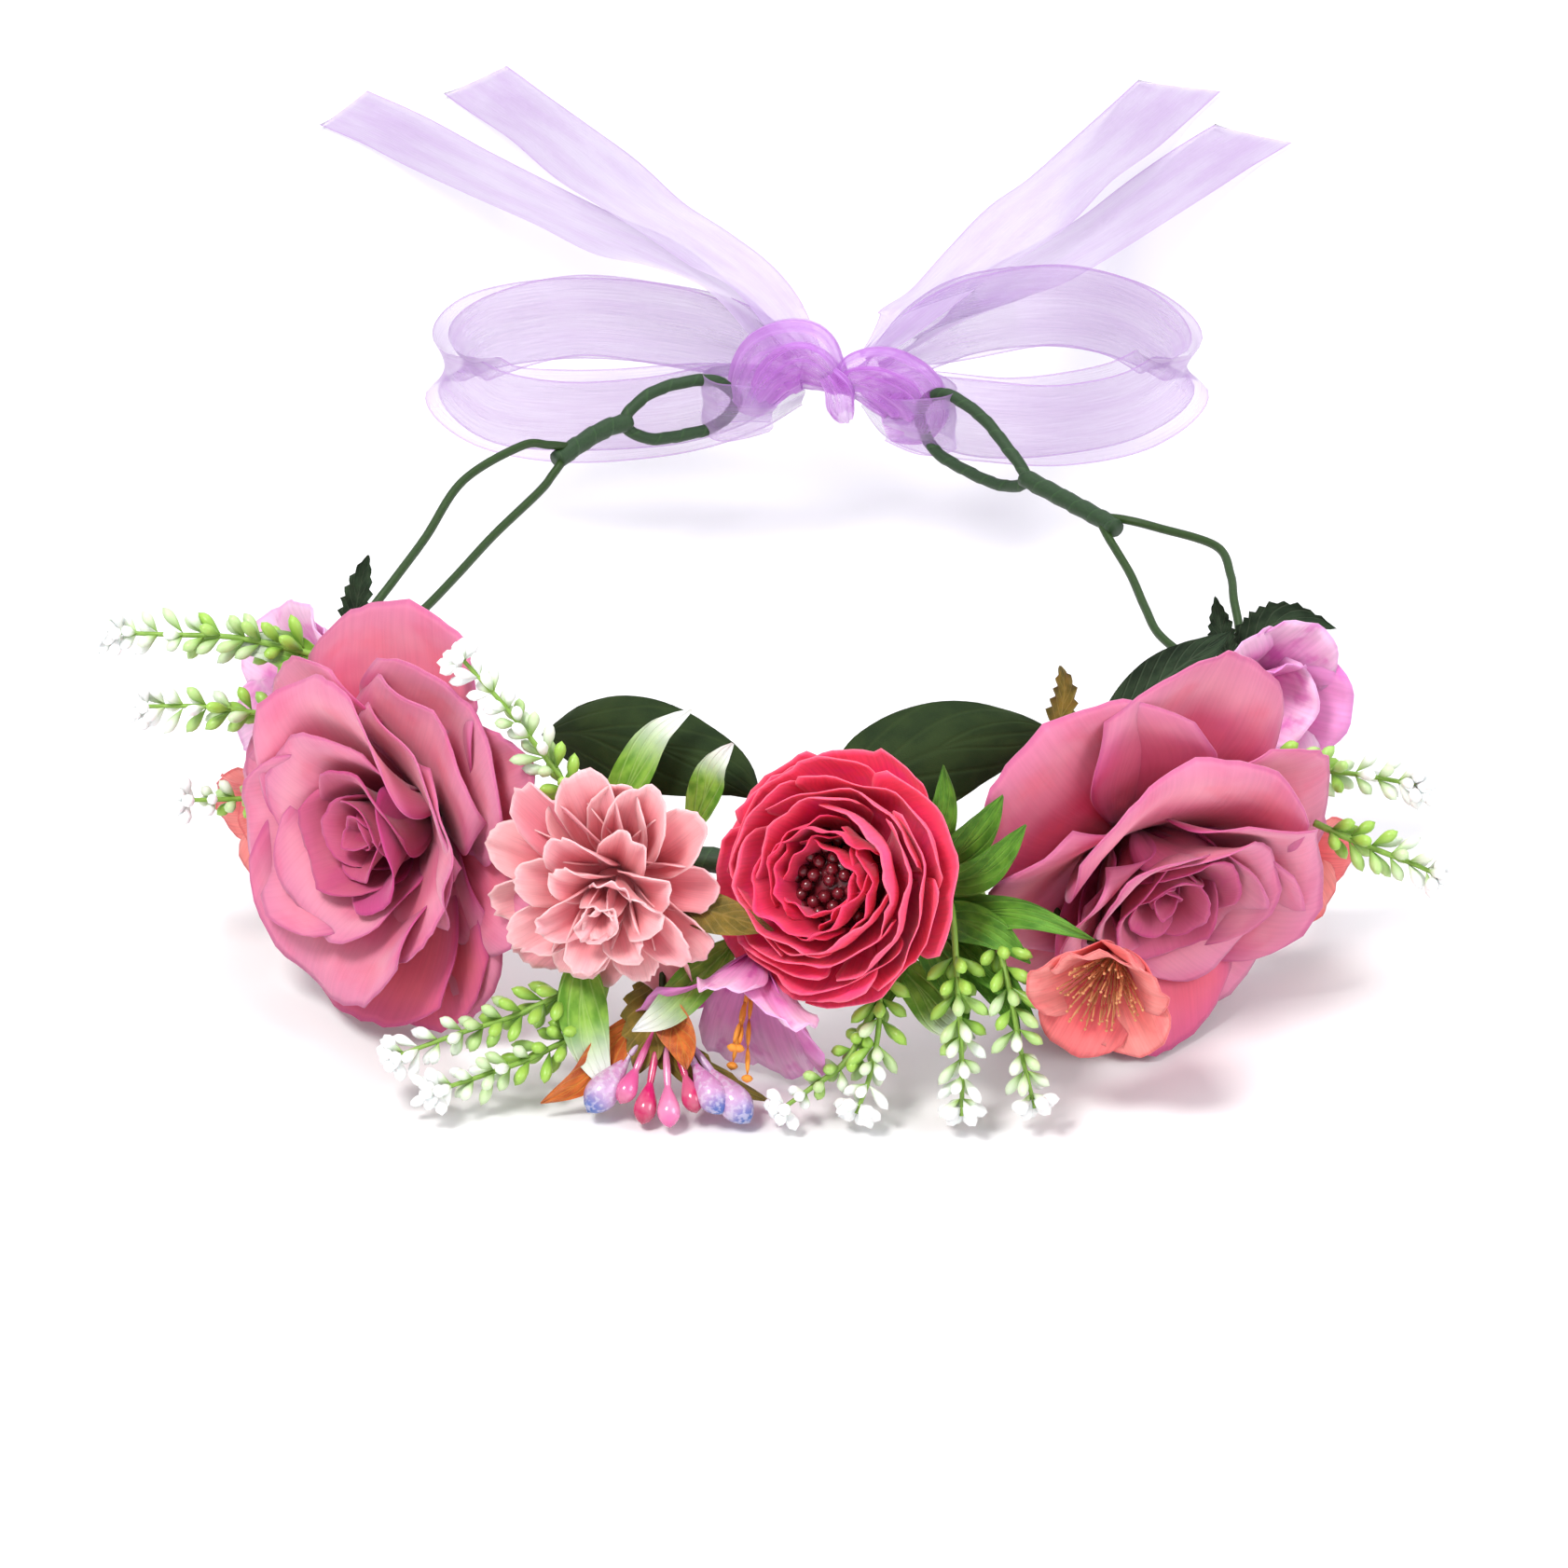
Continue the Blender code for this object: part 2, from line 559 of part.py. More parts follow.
def bow(colours):
    """Two ribbons tied in one bow: a knot, two loops, four tails and the wraps round the eyes."""
    up = Vector((0, 0, 1))
    ribbon = colours["ribbon"]
    folded = colours["ribbon_folded"]
    wraps = {
        "left_ribbon_wrap": [(-0.5, 107, 49), (-11, 106.5, 49.5), (-17, 104.9, 50), (-19.4, 100.6, 50)],
        "right_ribbon_wrap": [(21, 107, 49), (27.5, 103.8, 49.5), (33.5, 98.6, 50), (35.8, 94.2, 50)],
    }
    wraps["left_ribbon_wrap"] += [(-17, 97.0, 50), (-11, 96.5, 49.5), (-0.5, 98.5, 49)]
    wraps["right_ribbon_wrap"] += [(33.6, 91.6, 50), (27.5, 92.5, 49.5), (20.5, 97.5, 49)]
    for name, places in wraps.items():
        route = smooth_route([at(*p) for p in places], 2)
        ends = 0.40 * RIBBON_WIDTH
        gathered = 0.11 * RIBBON_WIDTH
        widths = blended([ends, gathered, gathered, ends], len(route))
        strip(name, route, [up] * len(route), widths, folded)
    profile = [(0.0, -0.0085), (0.006, -0.0075), (0.0085, -0.002)]
    profile += [(0.0085, 0.004), (0.005, 0.0085), (0.0, 0.0095)]
    knot_place = placed(at(10, 105, 50), Vector((1, 0.1, 0)).normalized())
    revolve("bow_knot", profile, knot_place, folded, 3, 0.08, 12)
    places = [(-2, 112.5, 42), (-20, 112, 40), (-45, 110, 39.5), (-66, 111, 44), (-76, 116.5, 51)]
    places += [(-68, 124, 53.5), (-45, 127, 53), (-20, 122, 53), (-2, 116, 52)]
    route = smooth_route([at(*p) for p in places], 3)
    across = blended([up] * 9, len(route))
    widths = blended([0.010, RIBBON_WIDTH, RIBBON_WIDTH, RIBBON_WIDTH, 0.010], len(route))
    strip("left_bow_loop", route, across, widths, folded)
    places = [(22, 111.5, 42), (40, 112, 39), (62, 112, 38), (80, 112, 42), (88, 117, 48)]
    places += [(80, 125, 54), (62, 128, 55), (40, 123, 54), (22, 116, 52)]
    route = smooth_route([at(*p) for p in places], 3)
    strip("right_bow_loop", route, blended([up] * 9, len(route)), widths, folded)
    flat = RIBBON_THICKNESS / 2 / MM
    tails = {
        "left_outer_tail": [(0, 121, 60), (-14, 133, 64), (-23, 146, 59), (-36, 178, 48), (-50, 219, 33)],
        "left_inner_tail": [(6, 121, 64), (-6, 133, 69), (-14, 147, 64), (-24, 181, 52), (-35, 225, 36)],
        "right_inner_tail": [(14, 121, 66), (27, 132, 72), (36, 147, 68), (45, 178, 57), (55, 221, 40)],
        "right_outer_tail": [(20, 121, 60), (32, 131, 64), (43, 144, 60), (53, 170, 48), (65, 208, 31)],
    }
    tails["left_outer_tail"] += [(-66, 262, 18), (-81, 299, 5)]
    tails["left_inner_tail"] += [(-46, 270, 21), (-57, 310, 7)]
    tails["right_inner_tail"] += [(65, 266, 23), (76, 306, 7)]
    tails["right_outer_tail"] += [(77, 250, 16), (89, 287, 4)]
    flat_ends = {
        "left_outer_tail": [(-93, 320, flat), (-105, 333, flat)],
        "left_inner_tail": [(-66, 332, flat), (-75, 348, flat)],
        "right_inner_tail": [(85, 329, flat), (92, 345, flat)],
        "right_outer_tail": [(99, 307, flat), (108, 320, flat)],
    }
    for name, places in tails.items():
        places = places + flat_ends[name]
        route = smooth_route([at(*p) for p in places], 3)
        for point in route:
            point.z = max(point.z, RIBBON_THICKNESS / 2)
        last = len(route) - 1
        levels = [up.cross(route[min(i + 1, last)] - route[max(i - 1, 0)]).normalized() for i in range(last + 1)]
        start, near = 0.4 * RIBBON_WIDTH, 0.8 * RIBBON_WIDTH
        widths = blended([start, near, RIBBON_WIDTH, RIBBON_WIDTH], len(route))
        strip(name, route, levels, widths, ribbon)


def main():
    clear_scene()
    colours = {
        "wire": make_material("band wire steel", (0.35, 0.35, 0.33), 0.4, 1.0),
        "tape": make_material("green stem tape", (0.020, 0.080, 0.030), 0.75),
        "arm_wire": make_material("green coated wire", (0.090, 0.180, 0.040), 0.5),
        "calyx": make_material("green plastic", (0.200, 0.450, 0.080), 0.45),
        "rose": make_material("mauve petal cloth", (0.660, 0.220, 0.330), 0.85),
        "rose_heart": make_material("rose heart cloth", (0.400, 0.100, 0.120), 0.85),
        "ranunculus": make_material("raspberry petal cloth", (0.870, 0.150, 0.220), 0.80),
        "ranunculus_heart": make_material("crimson petal cloth", (0.700, 0.010, 0.070), 0.80),
        "berry": make_material("maroon seeds", (0.080, 0.003, 0.005), 0.25),
        "dahlia": make_material("salmon petal cloth", (0.850, 0.370, 0.390), 0.85),
        "coral": make_material("coral petal cloth", (0.830, 0.210, 0.150), 0.85),
        "stamen": make_material("tan stamen", (0.680, 0.300, 0.110), 0.70),
        "lilac": make_material("lilac petal cloth", (0.700, 0.300, 0.620), 0.80),
        "lily_stamen": make_material("orange stamen", (0.750, 0.280, 0.020), 0.60),
        "satin_leaf": make_material("satin leaf ribbon", (0.020, 0.054, 0.014), 0.55),
        "serrated_leaf": make_material("dark leaf cloth", (0.026, 0.045, 0.026), 0.70),
        "bright_leaf": make_material("bright leaf plastic", (0.150, 0.400, 0.080), 0.45),
        "olive_leaf": make_material("olive leaf cloth", (0.220, 0.220, 0.020), 0.70),
        "drop": make_material("glossy pink drop", (0.750, 0.010, 0.160), 0.15),
        "sprig": make_material("lime sprig plastic", (0.310, 0.520, 0.060), 0.45),
        "ribbon": make_material("lilac organza", (0.830, 0.750, 0.900), 0.60),
        "ribbon_folded": make_material("folded lilac organza", (0.600, 0.250, 0.750), 0.60),
    }
    band(colours)
    rose("left_rose", 224, RING_HEIGHT - 2 * MM, 220.9, 6, colours)
    rose("right_rose", 313.5, RING_HEIGHT - 2 * MM, 296, -6, colours)
    ranunculus(275, RING_HEIGHT + 1 * MM, 262, 28, colours)
    dahlia(250.5, RING_HEIGHT - 1 * MM, 257.9, 14, colours)
    blossoms(colours)
    leaves(colours)
    berry_pick(colours)
    sprigs(colours)
    arms(colours)
    bow(colours)


main()
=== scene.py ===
import math
import random

import bmesh
import bpy
from mathutils import Matrix, Vector, noise


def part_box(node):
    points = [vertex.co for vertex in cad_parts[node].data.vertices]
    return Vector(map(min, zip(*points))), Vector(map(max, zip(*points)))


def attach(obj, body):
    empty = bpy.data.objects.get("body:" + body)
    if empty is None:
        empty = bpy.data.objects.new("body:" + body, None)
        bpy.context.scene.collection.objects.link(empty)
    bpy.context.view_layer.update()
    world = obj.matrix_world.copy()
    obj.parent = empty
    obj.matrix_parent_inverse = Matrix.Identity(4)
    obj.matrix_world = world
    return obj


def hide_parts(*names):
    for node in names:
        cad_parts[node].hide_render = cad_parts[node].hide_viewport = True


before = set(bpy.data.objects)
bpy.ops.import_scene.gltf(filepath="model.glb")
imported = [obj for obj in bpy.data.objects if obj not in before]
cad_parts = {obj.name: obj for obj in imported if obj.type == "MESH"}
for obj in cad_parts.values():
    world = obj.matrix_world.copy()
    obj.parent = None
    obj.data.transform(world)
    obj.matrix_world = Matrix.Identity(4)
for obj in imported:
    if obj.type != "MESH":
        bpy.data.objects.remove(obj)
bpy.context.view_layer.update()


# The band: a steel wire bent to the head, wound from end to end with waxed green crepe tape.
# Each turn of tape laps the one before, so it shows as low slanting ridges.
MM = 0.001


def smooth_route(points, steps, closed=False):
    """A smooth line through every point, with so many steps from each point to the next."""
    count = len(points)
    route = []
    for i in range(count if closed else count - 1):
        if closed:
            a, b, c, d = (Vector(points[(i + k) % count]) for k in (-1, 0, 1, 2))
        else:
            b, c = Vector(points[i]), Vector(points[i + 1])
            a = Vector(points[i - 1]) if i else b * 2 - c
            d = Vector(points[i + 2]) if i + 2 < count else c * 2 - b
        for step in range(steps):
            t = step / steps
            bend = (a * 2 - b * 5 + c * 4 - d) * t**2 + (b * 3 - a - c * 3 + d) * t**3
            route.append((b * 2 + (c - a) * t + bend) / 2)
    if not closed:
        route.append(Vector(points[-1]))
    return route


def made_route(points, steps, closed=False):
    """A smooth line, in metres, through points that are given in millimetres."""
    return smooth_route([Vector(point) * MM for point in points], steps, closed)


def spoke(side, other, angle):
    """The way that points at an angle, in the plane of two ways that stand square to each other."""
    return side * math.cos(angle) + other * math.sin(angle)


def wound_tube(shape, route, radius, sides=10, ridge=0.0, pitch=6 * MM, closed=False, taper=None):
    """A round tube along a route; a ridge makes the slanting laps of wound tape."""
    rings = []
    uv = shape.loops.layers.uv.get("weave") or shape.loops.layers.uv.new("weave")
    count = len(route)
    side = None
    walked = 0.0
    marks = []
    for i, point in enumerate(route):
        if closed:
            ahead = (route[(i + 1) % count] - route[i - 1]).normalized()
        else:
            ahead = (route[min(i + 1, count - 1)] - route[max(i - 1, 0)]).normalized()
        side = ahead.orthogonal() if side is None else side - ahead * side.dot(ahead)
        side.normalize()
        other = ahead.cross(side)
        if i:
            walked += (point - route[i - 1]).length
        ring = []
        for k in range(sides):
            lap = (walked / pitch + k / sides) % 1.0
            here = radius * (taper[i] if taper else 1.0) * (1 + ridge * (lap - 0.5))
            ring.append(shape.verts.new(point + spoke(side, other, math.tau * k / sides) * here))
        rings.append(ring)
        marks.append(walked)
    pairs = [(i, (i + 1) % count) for i in range(count if closed else count - 1)]
    turn = 0
    if closed:
        first, last = rings[0][0].co, rings[-1]
        turn = min(range(sides), key=lambda k: (last[k].co - first).length)
    for i, j in pairs:
        shift = turn if closed and j == 0 else 0
        for k in range(sides):
            a, b = rings[i][(k + shift) % sides], rings[i][(k + 1 + shift) % sides]
            c, d = rings[j][(k + 1) % sides], rings[j][k]
            face = shape.faces.new((a, b, c, d))
            far = marks[j] if j else marks[i] + MM
            places = ((k, marks[i]), (k + 1, marks[i]), (k + 1, far), (k, far))
            for loop, (across, along) in zip(face.loops, places):
                loop[uv].uv = (across / sides, along * 100)
    if not closed:
        shape.faces.new(rings[0][::-1])
        shape.faces.new(rings[-1])


def new_piece(name, shape, material, body, nodes=()):
    """Makes the shape an object on its body, in place of the solids that it stands for."""
    mesh = bpy.data.meshes.new(name)
    bmesh.ops.recalc_face_normals(shape, faces=shape.faces)
    shape.to_mesh(mesh)
    shape.free()
    piece = bpy.data.objects.new(name, mesh)
    bpy.context.scene.collection.objects.link(piece)
    mesh.materials.append(material)
    mesh.shade_smooth()
    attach(piece, body)
    if nodes:
        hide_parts(*nodes)
    return piece


class Finish:
    """A material under construction: short calls for the nodes that these finishes share."""

    def __init__(self, name, roughness, sheen=0.0, coat=0.0, glow=0.0):
        self.material = bpy.data.materials.new(name)
        self.material.use_nodes = True
        self.tree = self.material.node_tree
        self.shader = self.tree.nodes["Principled BSDF"]
        self.shader.inputs["Roughness"].default_value = roughness
        self.shader.inputs["Sheen Weight"].default_value = sheen
        self.shader.inputs["Coat Weight"].default_value = coat
        self.shader.inputs["Coat Roughness"].default_value = 0.15
        if glow:
            self.shader.inputs["Subsurface Weight"].default_value = glow
            self.shader.inputs["Subsurface Radius"].default_value = (1.0, 0.6, 0.6)
            self.shader.inputs["Subsurface Scale"].default_value = 0.0015

    def put(self, target, value):
        """Links a node's output to the socket, or sets the socket to a plain value."""
        if hasattr(value, "links"):
            self.tree.links.new(value, target)
        else:
            target.default_value = value

    def map(self, name):
        """The two places that a named map gives on a piece's skin."""
        node = self.tree.nodes.new("ShaderNodeUVMap")
        node.uv_map = name
        split = self.tree.nodes.new("ShaderNodeSeparateXYZ")
        self.put(split.inputs[0], node.outputs[0])
        return split.outputs[0], split.outputs[1]

    def own_place(self):
        return self.tree.nodes.new("ShaderNodeTexCoord").outputs["Object"]

    def join(self, x, y, z=0.0):
        node = self.tree.nodes.new("ShaderNodeCombineXYZ")
        for socket, value in zip(node.inputs, (x, y, z)):
            self.put(socket, value)
        return node.outputs[0]

    def math(self, operation, a, b=0.0, clamp=False):
        node = self.tree.nodes.new("ShaderNodeMath")
        node.operation = operation
        node.use_clamp = clamp
        self.put(node.inputs[0], a)
        self.put(node.inputs[1], b)
        return node.outputs[0]

    def times(self, a, b):
        return self.math("MULTIPLY", a, b)

    def plus(self, a, b, clamp=False):
        return self.math("ADD", a, b, clamp)

    def from_middle(self, u):
        """0 on a cloth's middle line and 1 at either side."""
        return self.math("ABSOLUTE", self.math("SUBTRACT", self.times(u, 2.0), 1.0))

    def span(self, value, low, high, to_low=0.0, to_high=1.0):
        """A smooth ramp from one level to another as the value goes from low to high."""
        node = self.tree.nodes.new("ShaderNodeMapRange")
        node.interpolation_type = "SMOOTHSTEP"
        for socket, number in zip(node.inputs, (value, low, high, to_low, to_high)):
            self.put(socket, number)
        return node.outputs[0]

    def noise(self, place, scale, detail=2.0):
        node = self.tree.nodes.new("ShaderNodeTexNoise")
        node.inputs["Scale"].default_value = scale
        node.inputs["Detail"].default_value = detail
        self.put(node.inputs["Vector"], place)
        return node.outputs["Fac"]

    def mix(self, share, a, b, kind="MIX"):
        node = self.tree.nodes.new("ShaderNodeMix")
        node.data_type = "RGBA"
        node.blend_type = kind
        self.put(node.inputs[0], share)
        colours = [socket for socket in node.inputs if socket.type == "RGBA"]
        for socket, colour in zip(colours, (a, b)):
            self.put(socket, (*colour, 1.0) if isinstance(colour, tuple) else colour)
        return node.outputs[2]

    def colour(self, value):
        self.put(self.shader.inputs["Base Color"], value)

    def bump(self, height, distance, strength=1.0):
        node = self.tree.nodes.new("ShaderNodeBump")
        node.inputs["Distance"].default_value = distance
        node.inputs["Strength"].default_value = strength
        self.put(node.inputs["Height"], height)
        self.put(self.shader.inputs["Normal"], node.outputs[0])


def tape_finish():
    """Waxed crepe paper: matt dark green with fine stretch wrinkles and paler laps."""
    finish = Finish("green crepe tape", 0.62, sheen=0.1)
    around, along = finish.map("weave")
    lap = finish.math("FRACT", finish.plus(finish.times(along, 1.67), around))
    wrinkle = finish.noise(finish.join(finish.times(around, 3.0), along), 9.0, 4.0)
    base = finish.mix(wrinkle, (0.003, 0.020, 0.003), (0.012, 0.056, 0.007))
    finish.colour(finish.mix(finish.span(lap, 0.86, 1.0, 0.0, 0.45), base, (0.030, 0.100, 0.016)))
    finish.bump(finish.plus(finish.times(wrinkle, 0.5), lap), 0.0002)
    return finish.material


TAPE = tape_finish()
RING_RADIUS = 100 * MM
RING_HEIGHT = 46 * MM
BAND_RADIUS = 2.9 * MM
TAPE_RIDGE = 0.16


def on_ring(angle_deg, radius=RING_RADIUS, height=RING_HEIGHT):
    angle = math.radians(angle_deg)
    return Vector((radius * math.cos(angle), radius * math.sin(angle), height))


shape = bmesh.new()
wound_tube(shape, [on_ring(degrees) for degrees in range(190, 351)], BAND_RADIUS, 12, TAPE_RIDGE)
new_piece("taped_band", shape, TAPE, "crown", ["band_tape", "band_wire"])


# The two roses: rings of stiffened cloth petals threaded on a stem, the outer ones hot-pressed so
# that their rims roll back, the heart rolled tight. The cloth has fine ribs and is dyed mauve.
def cloth_marks(shape):
    """The two marks that each corner of a cloth carries: its place on the cloth, and tone and dye lot."""
    layers = shape.loops.layers.uv
    uv = layers.get("petal") or layers.new("petal")
    tint = layers.get("tone") or layers.new("tone")
    return uv, tint


def skin_rows(shape, rows, tone=0.5, seed=0, repeats=1.0):
    """Faces across a cloth's rows of points; a long strip's weave repeats along it."""
    uv, tint = cloth_marks(shape)
    across, along = len(rows[0]) - 1, len(rows) - 1
    for j in range(along):
        for i in range(across):
            face = shape.faces.new((rows[j][i], rows[j][i + 1], rows[j + 1][i + 1], rows[j + 1][i]))
            corners = ((i, j), (i + 1, j), (i + 1, j + 1), (i, j + 1))
            for loop, (a, b) in zip(face.loops, corners):
                loop[uv].uv = (a / across, b / along * repeats)
                loop[tint].uv = (tone, (seed * 0.618) % 1.0)


def petal(shape, place, turn, root, rise, length, width, lean, spread, wrap=0.0, roll=0.0,
          frill=0.0, curl=0.0, point=0.30, tone=0.5, seed=0, grid=(12, 12), foot=0.30, skew=0.0, tip=0.0,
          waves=9, ragged=0.0):
    """One cloth petal in a flower's own frame. It leaves the stem at the root radius, turns from
    the lean to the spread angle above flat, wraps round its length and rolls back at its corners."""
    across, along = grid
    outward = Vector((math.cos(math.radians(turn)), math.sin(math.radians(turn)), 0))
    sideways = Vector((-outward.y, outward.x, 0))
    steps = 40
    full_width = 0.72
    spine = [(root, rise, math.radians(lean))]
    for i in range(steps):
        v = (i + 1) / steps
        bend = math.radians(lean + (spread - lean) * v**1.2 - curl * max(0.0, (v - full_width) / 0.28) ** 2)
        out, up, _ = spine[-1]
        spine.append((out + math.cos(bend) * length / steps, up + math.sin(bend) * length / steps, bend))
    rows = []
    for j in range(along + 1):
        v = j / along
        row = []
        for i in range(across + 1):
            u = 2 * i / across - 1
            reach = v * (1 - point * abs(u) ** 2.6 - tip * min(1.0, abs(u) / 0.3)
                         - ragged * (0.5 + noise.noise(Vector((9 * u, seed * 2.3, 0))))) * steps
            low = min(int(reach), steps - 1)
            share = reach - low
            out, up, bend = (spine[low][k] * (1 - share) + spine[low + 1][k] * share for k in range(3))
            half = width / 2 * (foot + (1 - foot) * math.sin(math.pi / 2 * min(1.0, v / full_width)))
            run = u * half
            if wrap:
                x, lift = math.sin(wrap * run) / wrap, (1 - math.cos(wrap * run)) / wrap
            else:
                x, lift = run, 0.0
            lift -= roll * length * v**3 * abs(u) ** 1.8
            lift += frill * length * v**2 * math.sin(waves * u + 5 * seed + 2 * v)
            lift += 0.09 * length * v * noise.noise(Vector((1.6 * u + 7 * seed, 1.6 * v, seed * 3.1)))
            lift += skew * run
            near = out - math.sin(bend) * lift
            high = up + math.cos(bend) * lift
            row.append(shape.verts.new(place @ (outward * near + sideways * x + Vector((0, 0, high)))))
        rows.append(row)
    skin_rows(shape, rows, tone, seed)


PETAL_CLOTH = 0.35 * MM


def thicken(piece, thickness=PETAL_CLOTH):
    """Gives a cloth piece its real thickness."""
    solid = piece.modifiers.new("cloth thickness", "SOLIDIFY")
    solid.thickness = thickness
    solid.offset = 0.0


def petal_finish(name, heart, body, light, rim, accent, accent_share=0.35, ribs=70.0, rim_share=0.7,
                 shine=0.75, gloss=0.15, rib_share=0.10, blush=0.30, variety=0.0):
    """Dyed petal cloth: the heart colour at its foot, partly deeper dye and partly painted shade; the light
    colour towards its tip, a painted highlight; ribs along it, a soft blush and a thin rim.
    """
    finish = Finish(name, shine, sheen=gloss, glow=0.25)
    u, v = finish.map("petal")
    tone, seed = finish.map("tone")
    place = finish.join(finish.times(u, 2.0), finish.times(v, 2.0),
                        finish.times(seed, 9.0))
    blotch = finish.noise(place, 1.3, 2.0)
    # Along each petal the colour runs from the heart at the foot (deeper dye with painted shade) through the
    # body to the light colour towards the tip (a painted highlight).
    dye_shade_and_highlight = finish.plus(v, finish.times(finish.math("SUBTRACT", blotch, 0.5), 0.6))
    base = finish.mix(finish.span(dye_shade_and_highlight, 0.02, 0.50), heart, body)
    base = finish.mix(finish.span(dye_shade_and_highlight, 0.50, 1.00, 0.0, 0.9), base, light)
    patch = finish.span(finish.noise(place, 2.2, 3.0), 0.50, 0.72, 0.0, accent_share)
    base = finish.mix(patch, base, accent)
    base = finish.mix(finish.span(tone, 0.55, 1.0, 0.0, 0.85), base, accent)
    base = finish.mix(variety, base, finish.mix(seed, rim, light), "MULTIPLY") if variety else base
    side = finish.from_middle(u)
    soft = finish.math("MAXIMUM", finish.span(side, 0.62, 1.0), finish.span(v, 0.74, 1.0))
    base = finish.mix(finish.times(soft, blush), base, rim)
    edge = finish.math("MAXIMUM", finish.span(side, 0.955, 0.99), finish.span(v, 0.965, 0.99))
    base = finish.mix(finish.times(edge, rim_share), base, rim)
    rib_place = finish.join(finish.times(u, ribs), finish.times(v, 2.5), seed)
    rib = finish.noise(rib_place, 1.0, 3.0)
    finish.colour(finish.mix(rib_share, base, finish.span(rib, 0.2, 0.8, 0.45, 1.4), "MULTIPLY"))
    weave = finish.noise(finish.join(finish.times(u, 160.0), finish.times(v, 160.0)), 1.0, 1.0)
    finish.bump(finish.plus(rib, finish.times(weave, 0.4)), 0.00012, 0.5)
    return finish.material


CALYX_HALF_HEIGHT = 2.7 * MM


def stand(seat, azimuth_deg, tilt_deg, spin_deg=0.0):
    """A flower's own frame: +Z the way it faces, +Y up, +X to its viewer's right."""
    azimuth, tilt = math.radians(azimuth_deg), math.radians(tilt_deg)
    face = Vector((math.cos(tilt) * math.cos(azimuth), math.cos(tilt) * math.sin(azimuth), math.sin(tilt)))
    right = Vector((0, 0, 1)).cross(face).normalized()
    up = face.cross(right)
    turn = Matrix((right, up, face)).transposed().to_4x4()
    return Matrix.Translation(seat) @ turn @ Matrix.Rotation(math.radians(spin_deg), 4, "Z")


def middle_of(node):
    low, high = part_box(node)
    return (Vector(low) + Vector(high)) / 2


def seat_of(node, azimuth_deg, tilt_deg):
    """The face of a flower's calyx, where its petals start."""
    return middle_of(node) + stand(Vector(), azimuth_deg, tilt_deg).col[2].to_3d() * CALYX_HALF_HEIGHT


# Rose cloth: the heart colour at each petal's foot is deeper dye with painted shade, and the light colour
# towards its tip is a painted highlight.
ROSE_CLOTH = petal_finish("mauve rose cloth", (0.36, 0.010, 0.060), (0.66, 0.120, 0.240),
                          (0.88, 0.390, 0.480), (0.46, 0.045, 0.220), (0.82, 0.110, 0.180), 0.34,
                          rim_share=0.40, blush=0.50, variety=0.12)
# The bud's cloth is darker all through, partly deeper dye and partly painted shade where the heart sits deep in
# the cup.
ROSE_HEART_DYE_AND_SHADE = petal_finish("rose heart cloth", (0.20, 0.003, 0.030), (0.36, 0.024, 0.080),
                          (0.56, 0.110, 0.200), (0.44, 0.030, 0.190), (0.50, 0.025, 0.190), rim_share=0.5)
def rose_ring(shape, place, rows, seed, frill=0.012, foot=0.30, skew=0.0, tip=0.0):
    """Each row: turn, root, rise, length, width, lean, spread, radius of its cup, roll, curl, tone."""
    for k, row in enumerate(rows):
        turn, root, rise, length, width, lean, spread, wrap, roll, curl, tone = row
        petal(shape, place, turn, root * MM, rise * MM, length * MM, width * MM, lean, spread, 1 / (wrap * MM),
              roll, frill, curl, 0.34, tone, seed + k, (20, 20), foot, skew, tip, 4, 0.02)


def rose(name, azimuth, tilt, outer, cups, inner):
    """A rose that faces the azimuth and tilt, from its rows of open, cupped and inner petals."""
    place = stand(seat_of(name + "_calyx", azimuth, tilt), azimuth, tilt)
    shape = bmesh.new()
    rose_ring(shape, place, outer, 1, 0.024, 0.26, tip=0.03)
    thicken(new_piece(name + "_open_petals", shape, ROSE_CLOTH, "crown",
                      [name + "_outer_petals"]))
    shape = bmesh.new()
    rose_ring(shape, place, cups, 21, 0.020, tip=0.05)
    thicken(new_piece(name + "_cupped_petals", shape, ROSE_CLOTH, "crown",
                      [name + "_middle_petals"]))
    shape = bmesh.new()
    rose_ring(shape, place, inner, 41, 0.014, 0.34, 0.12, 0.05)
    rose_ring(shape, place, [(120 * k, 1.2, 5, 17 + k, 13, 88, 82, 3.4, 0.05, 25, 0.2) for k in range(3)],
              61, 0.05, 0.4, 0.3, 0.06)
    thicken(new_piece(name + "_heart", shape, ROSE_HEART_DYE_AND_SHADE, "crown", [name + "_bud"]))


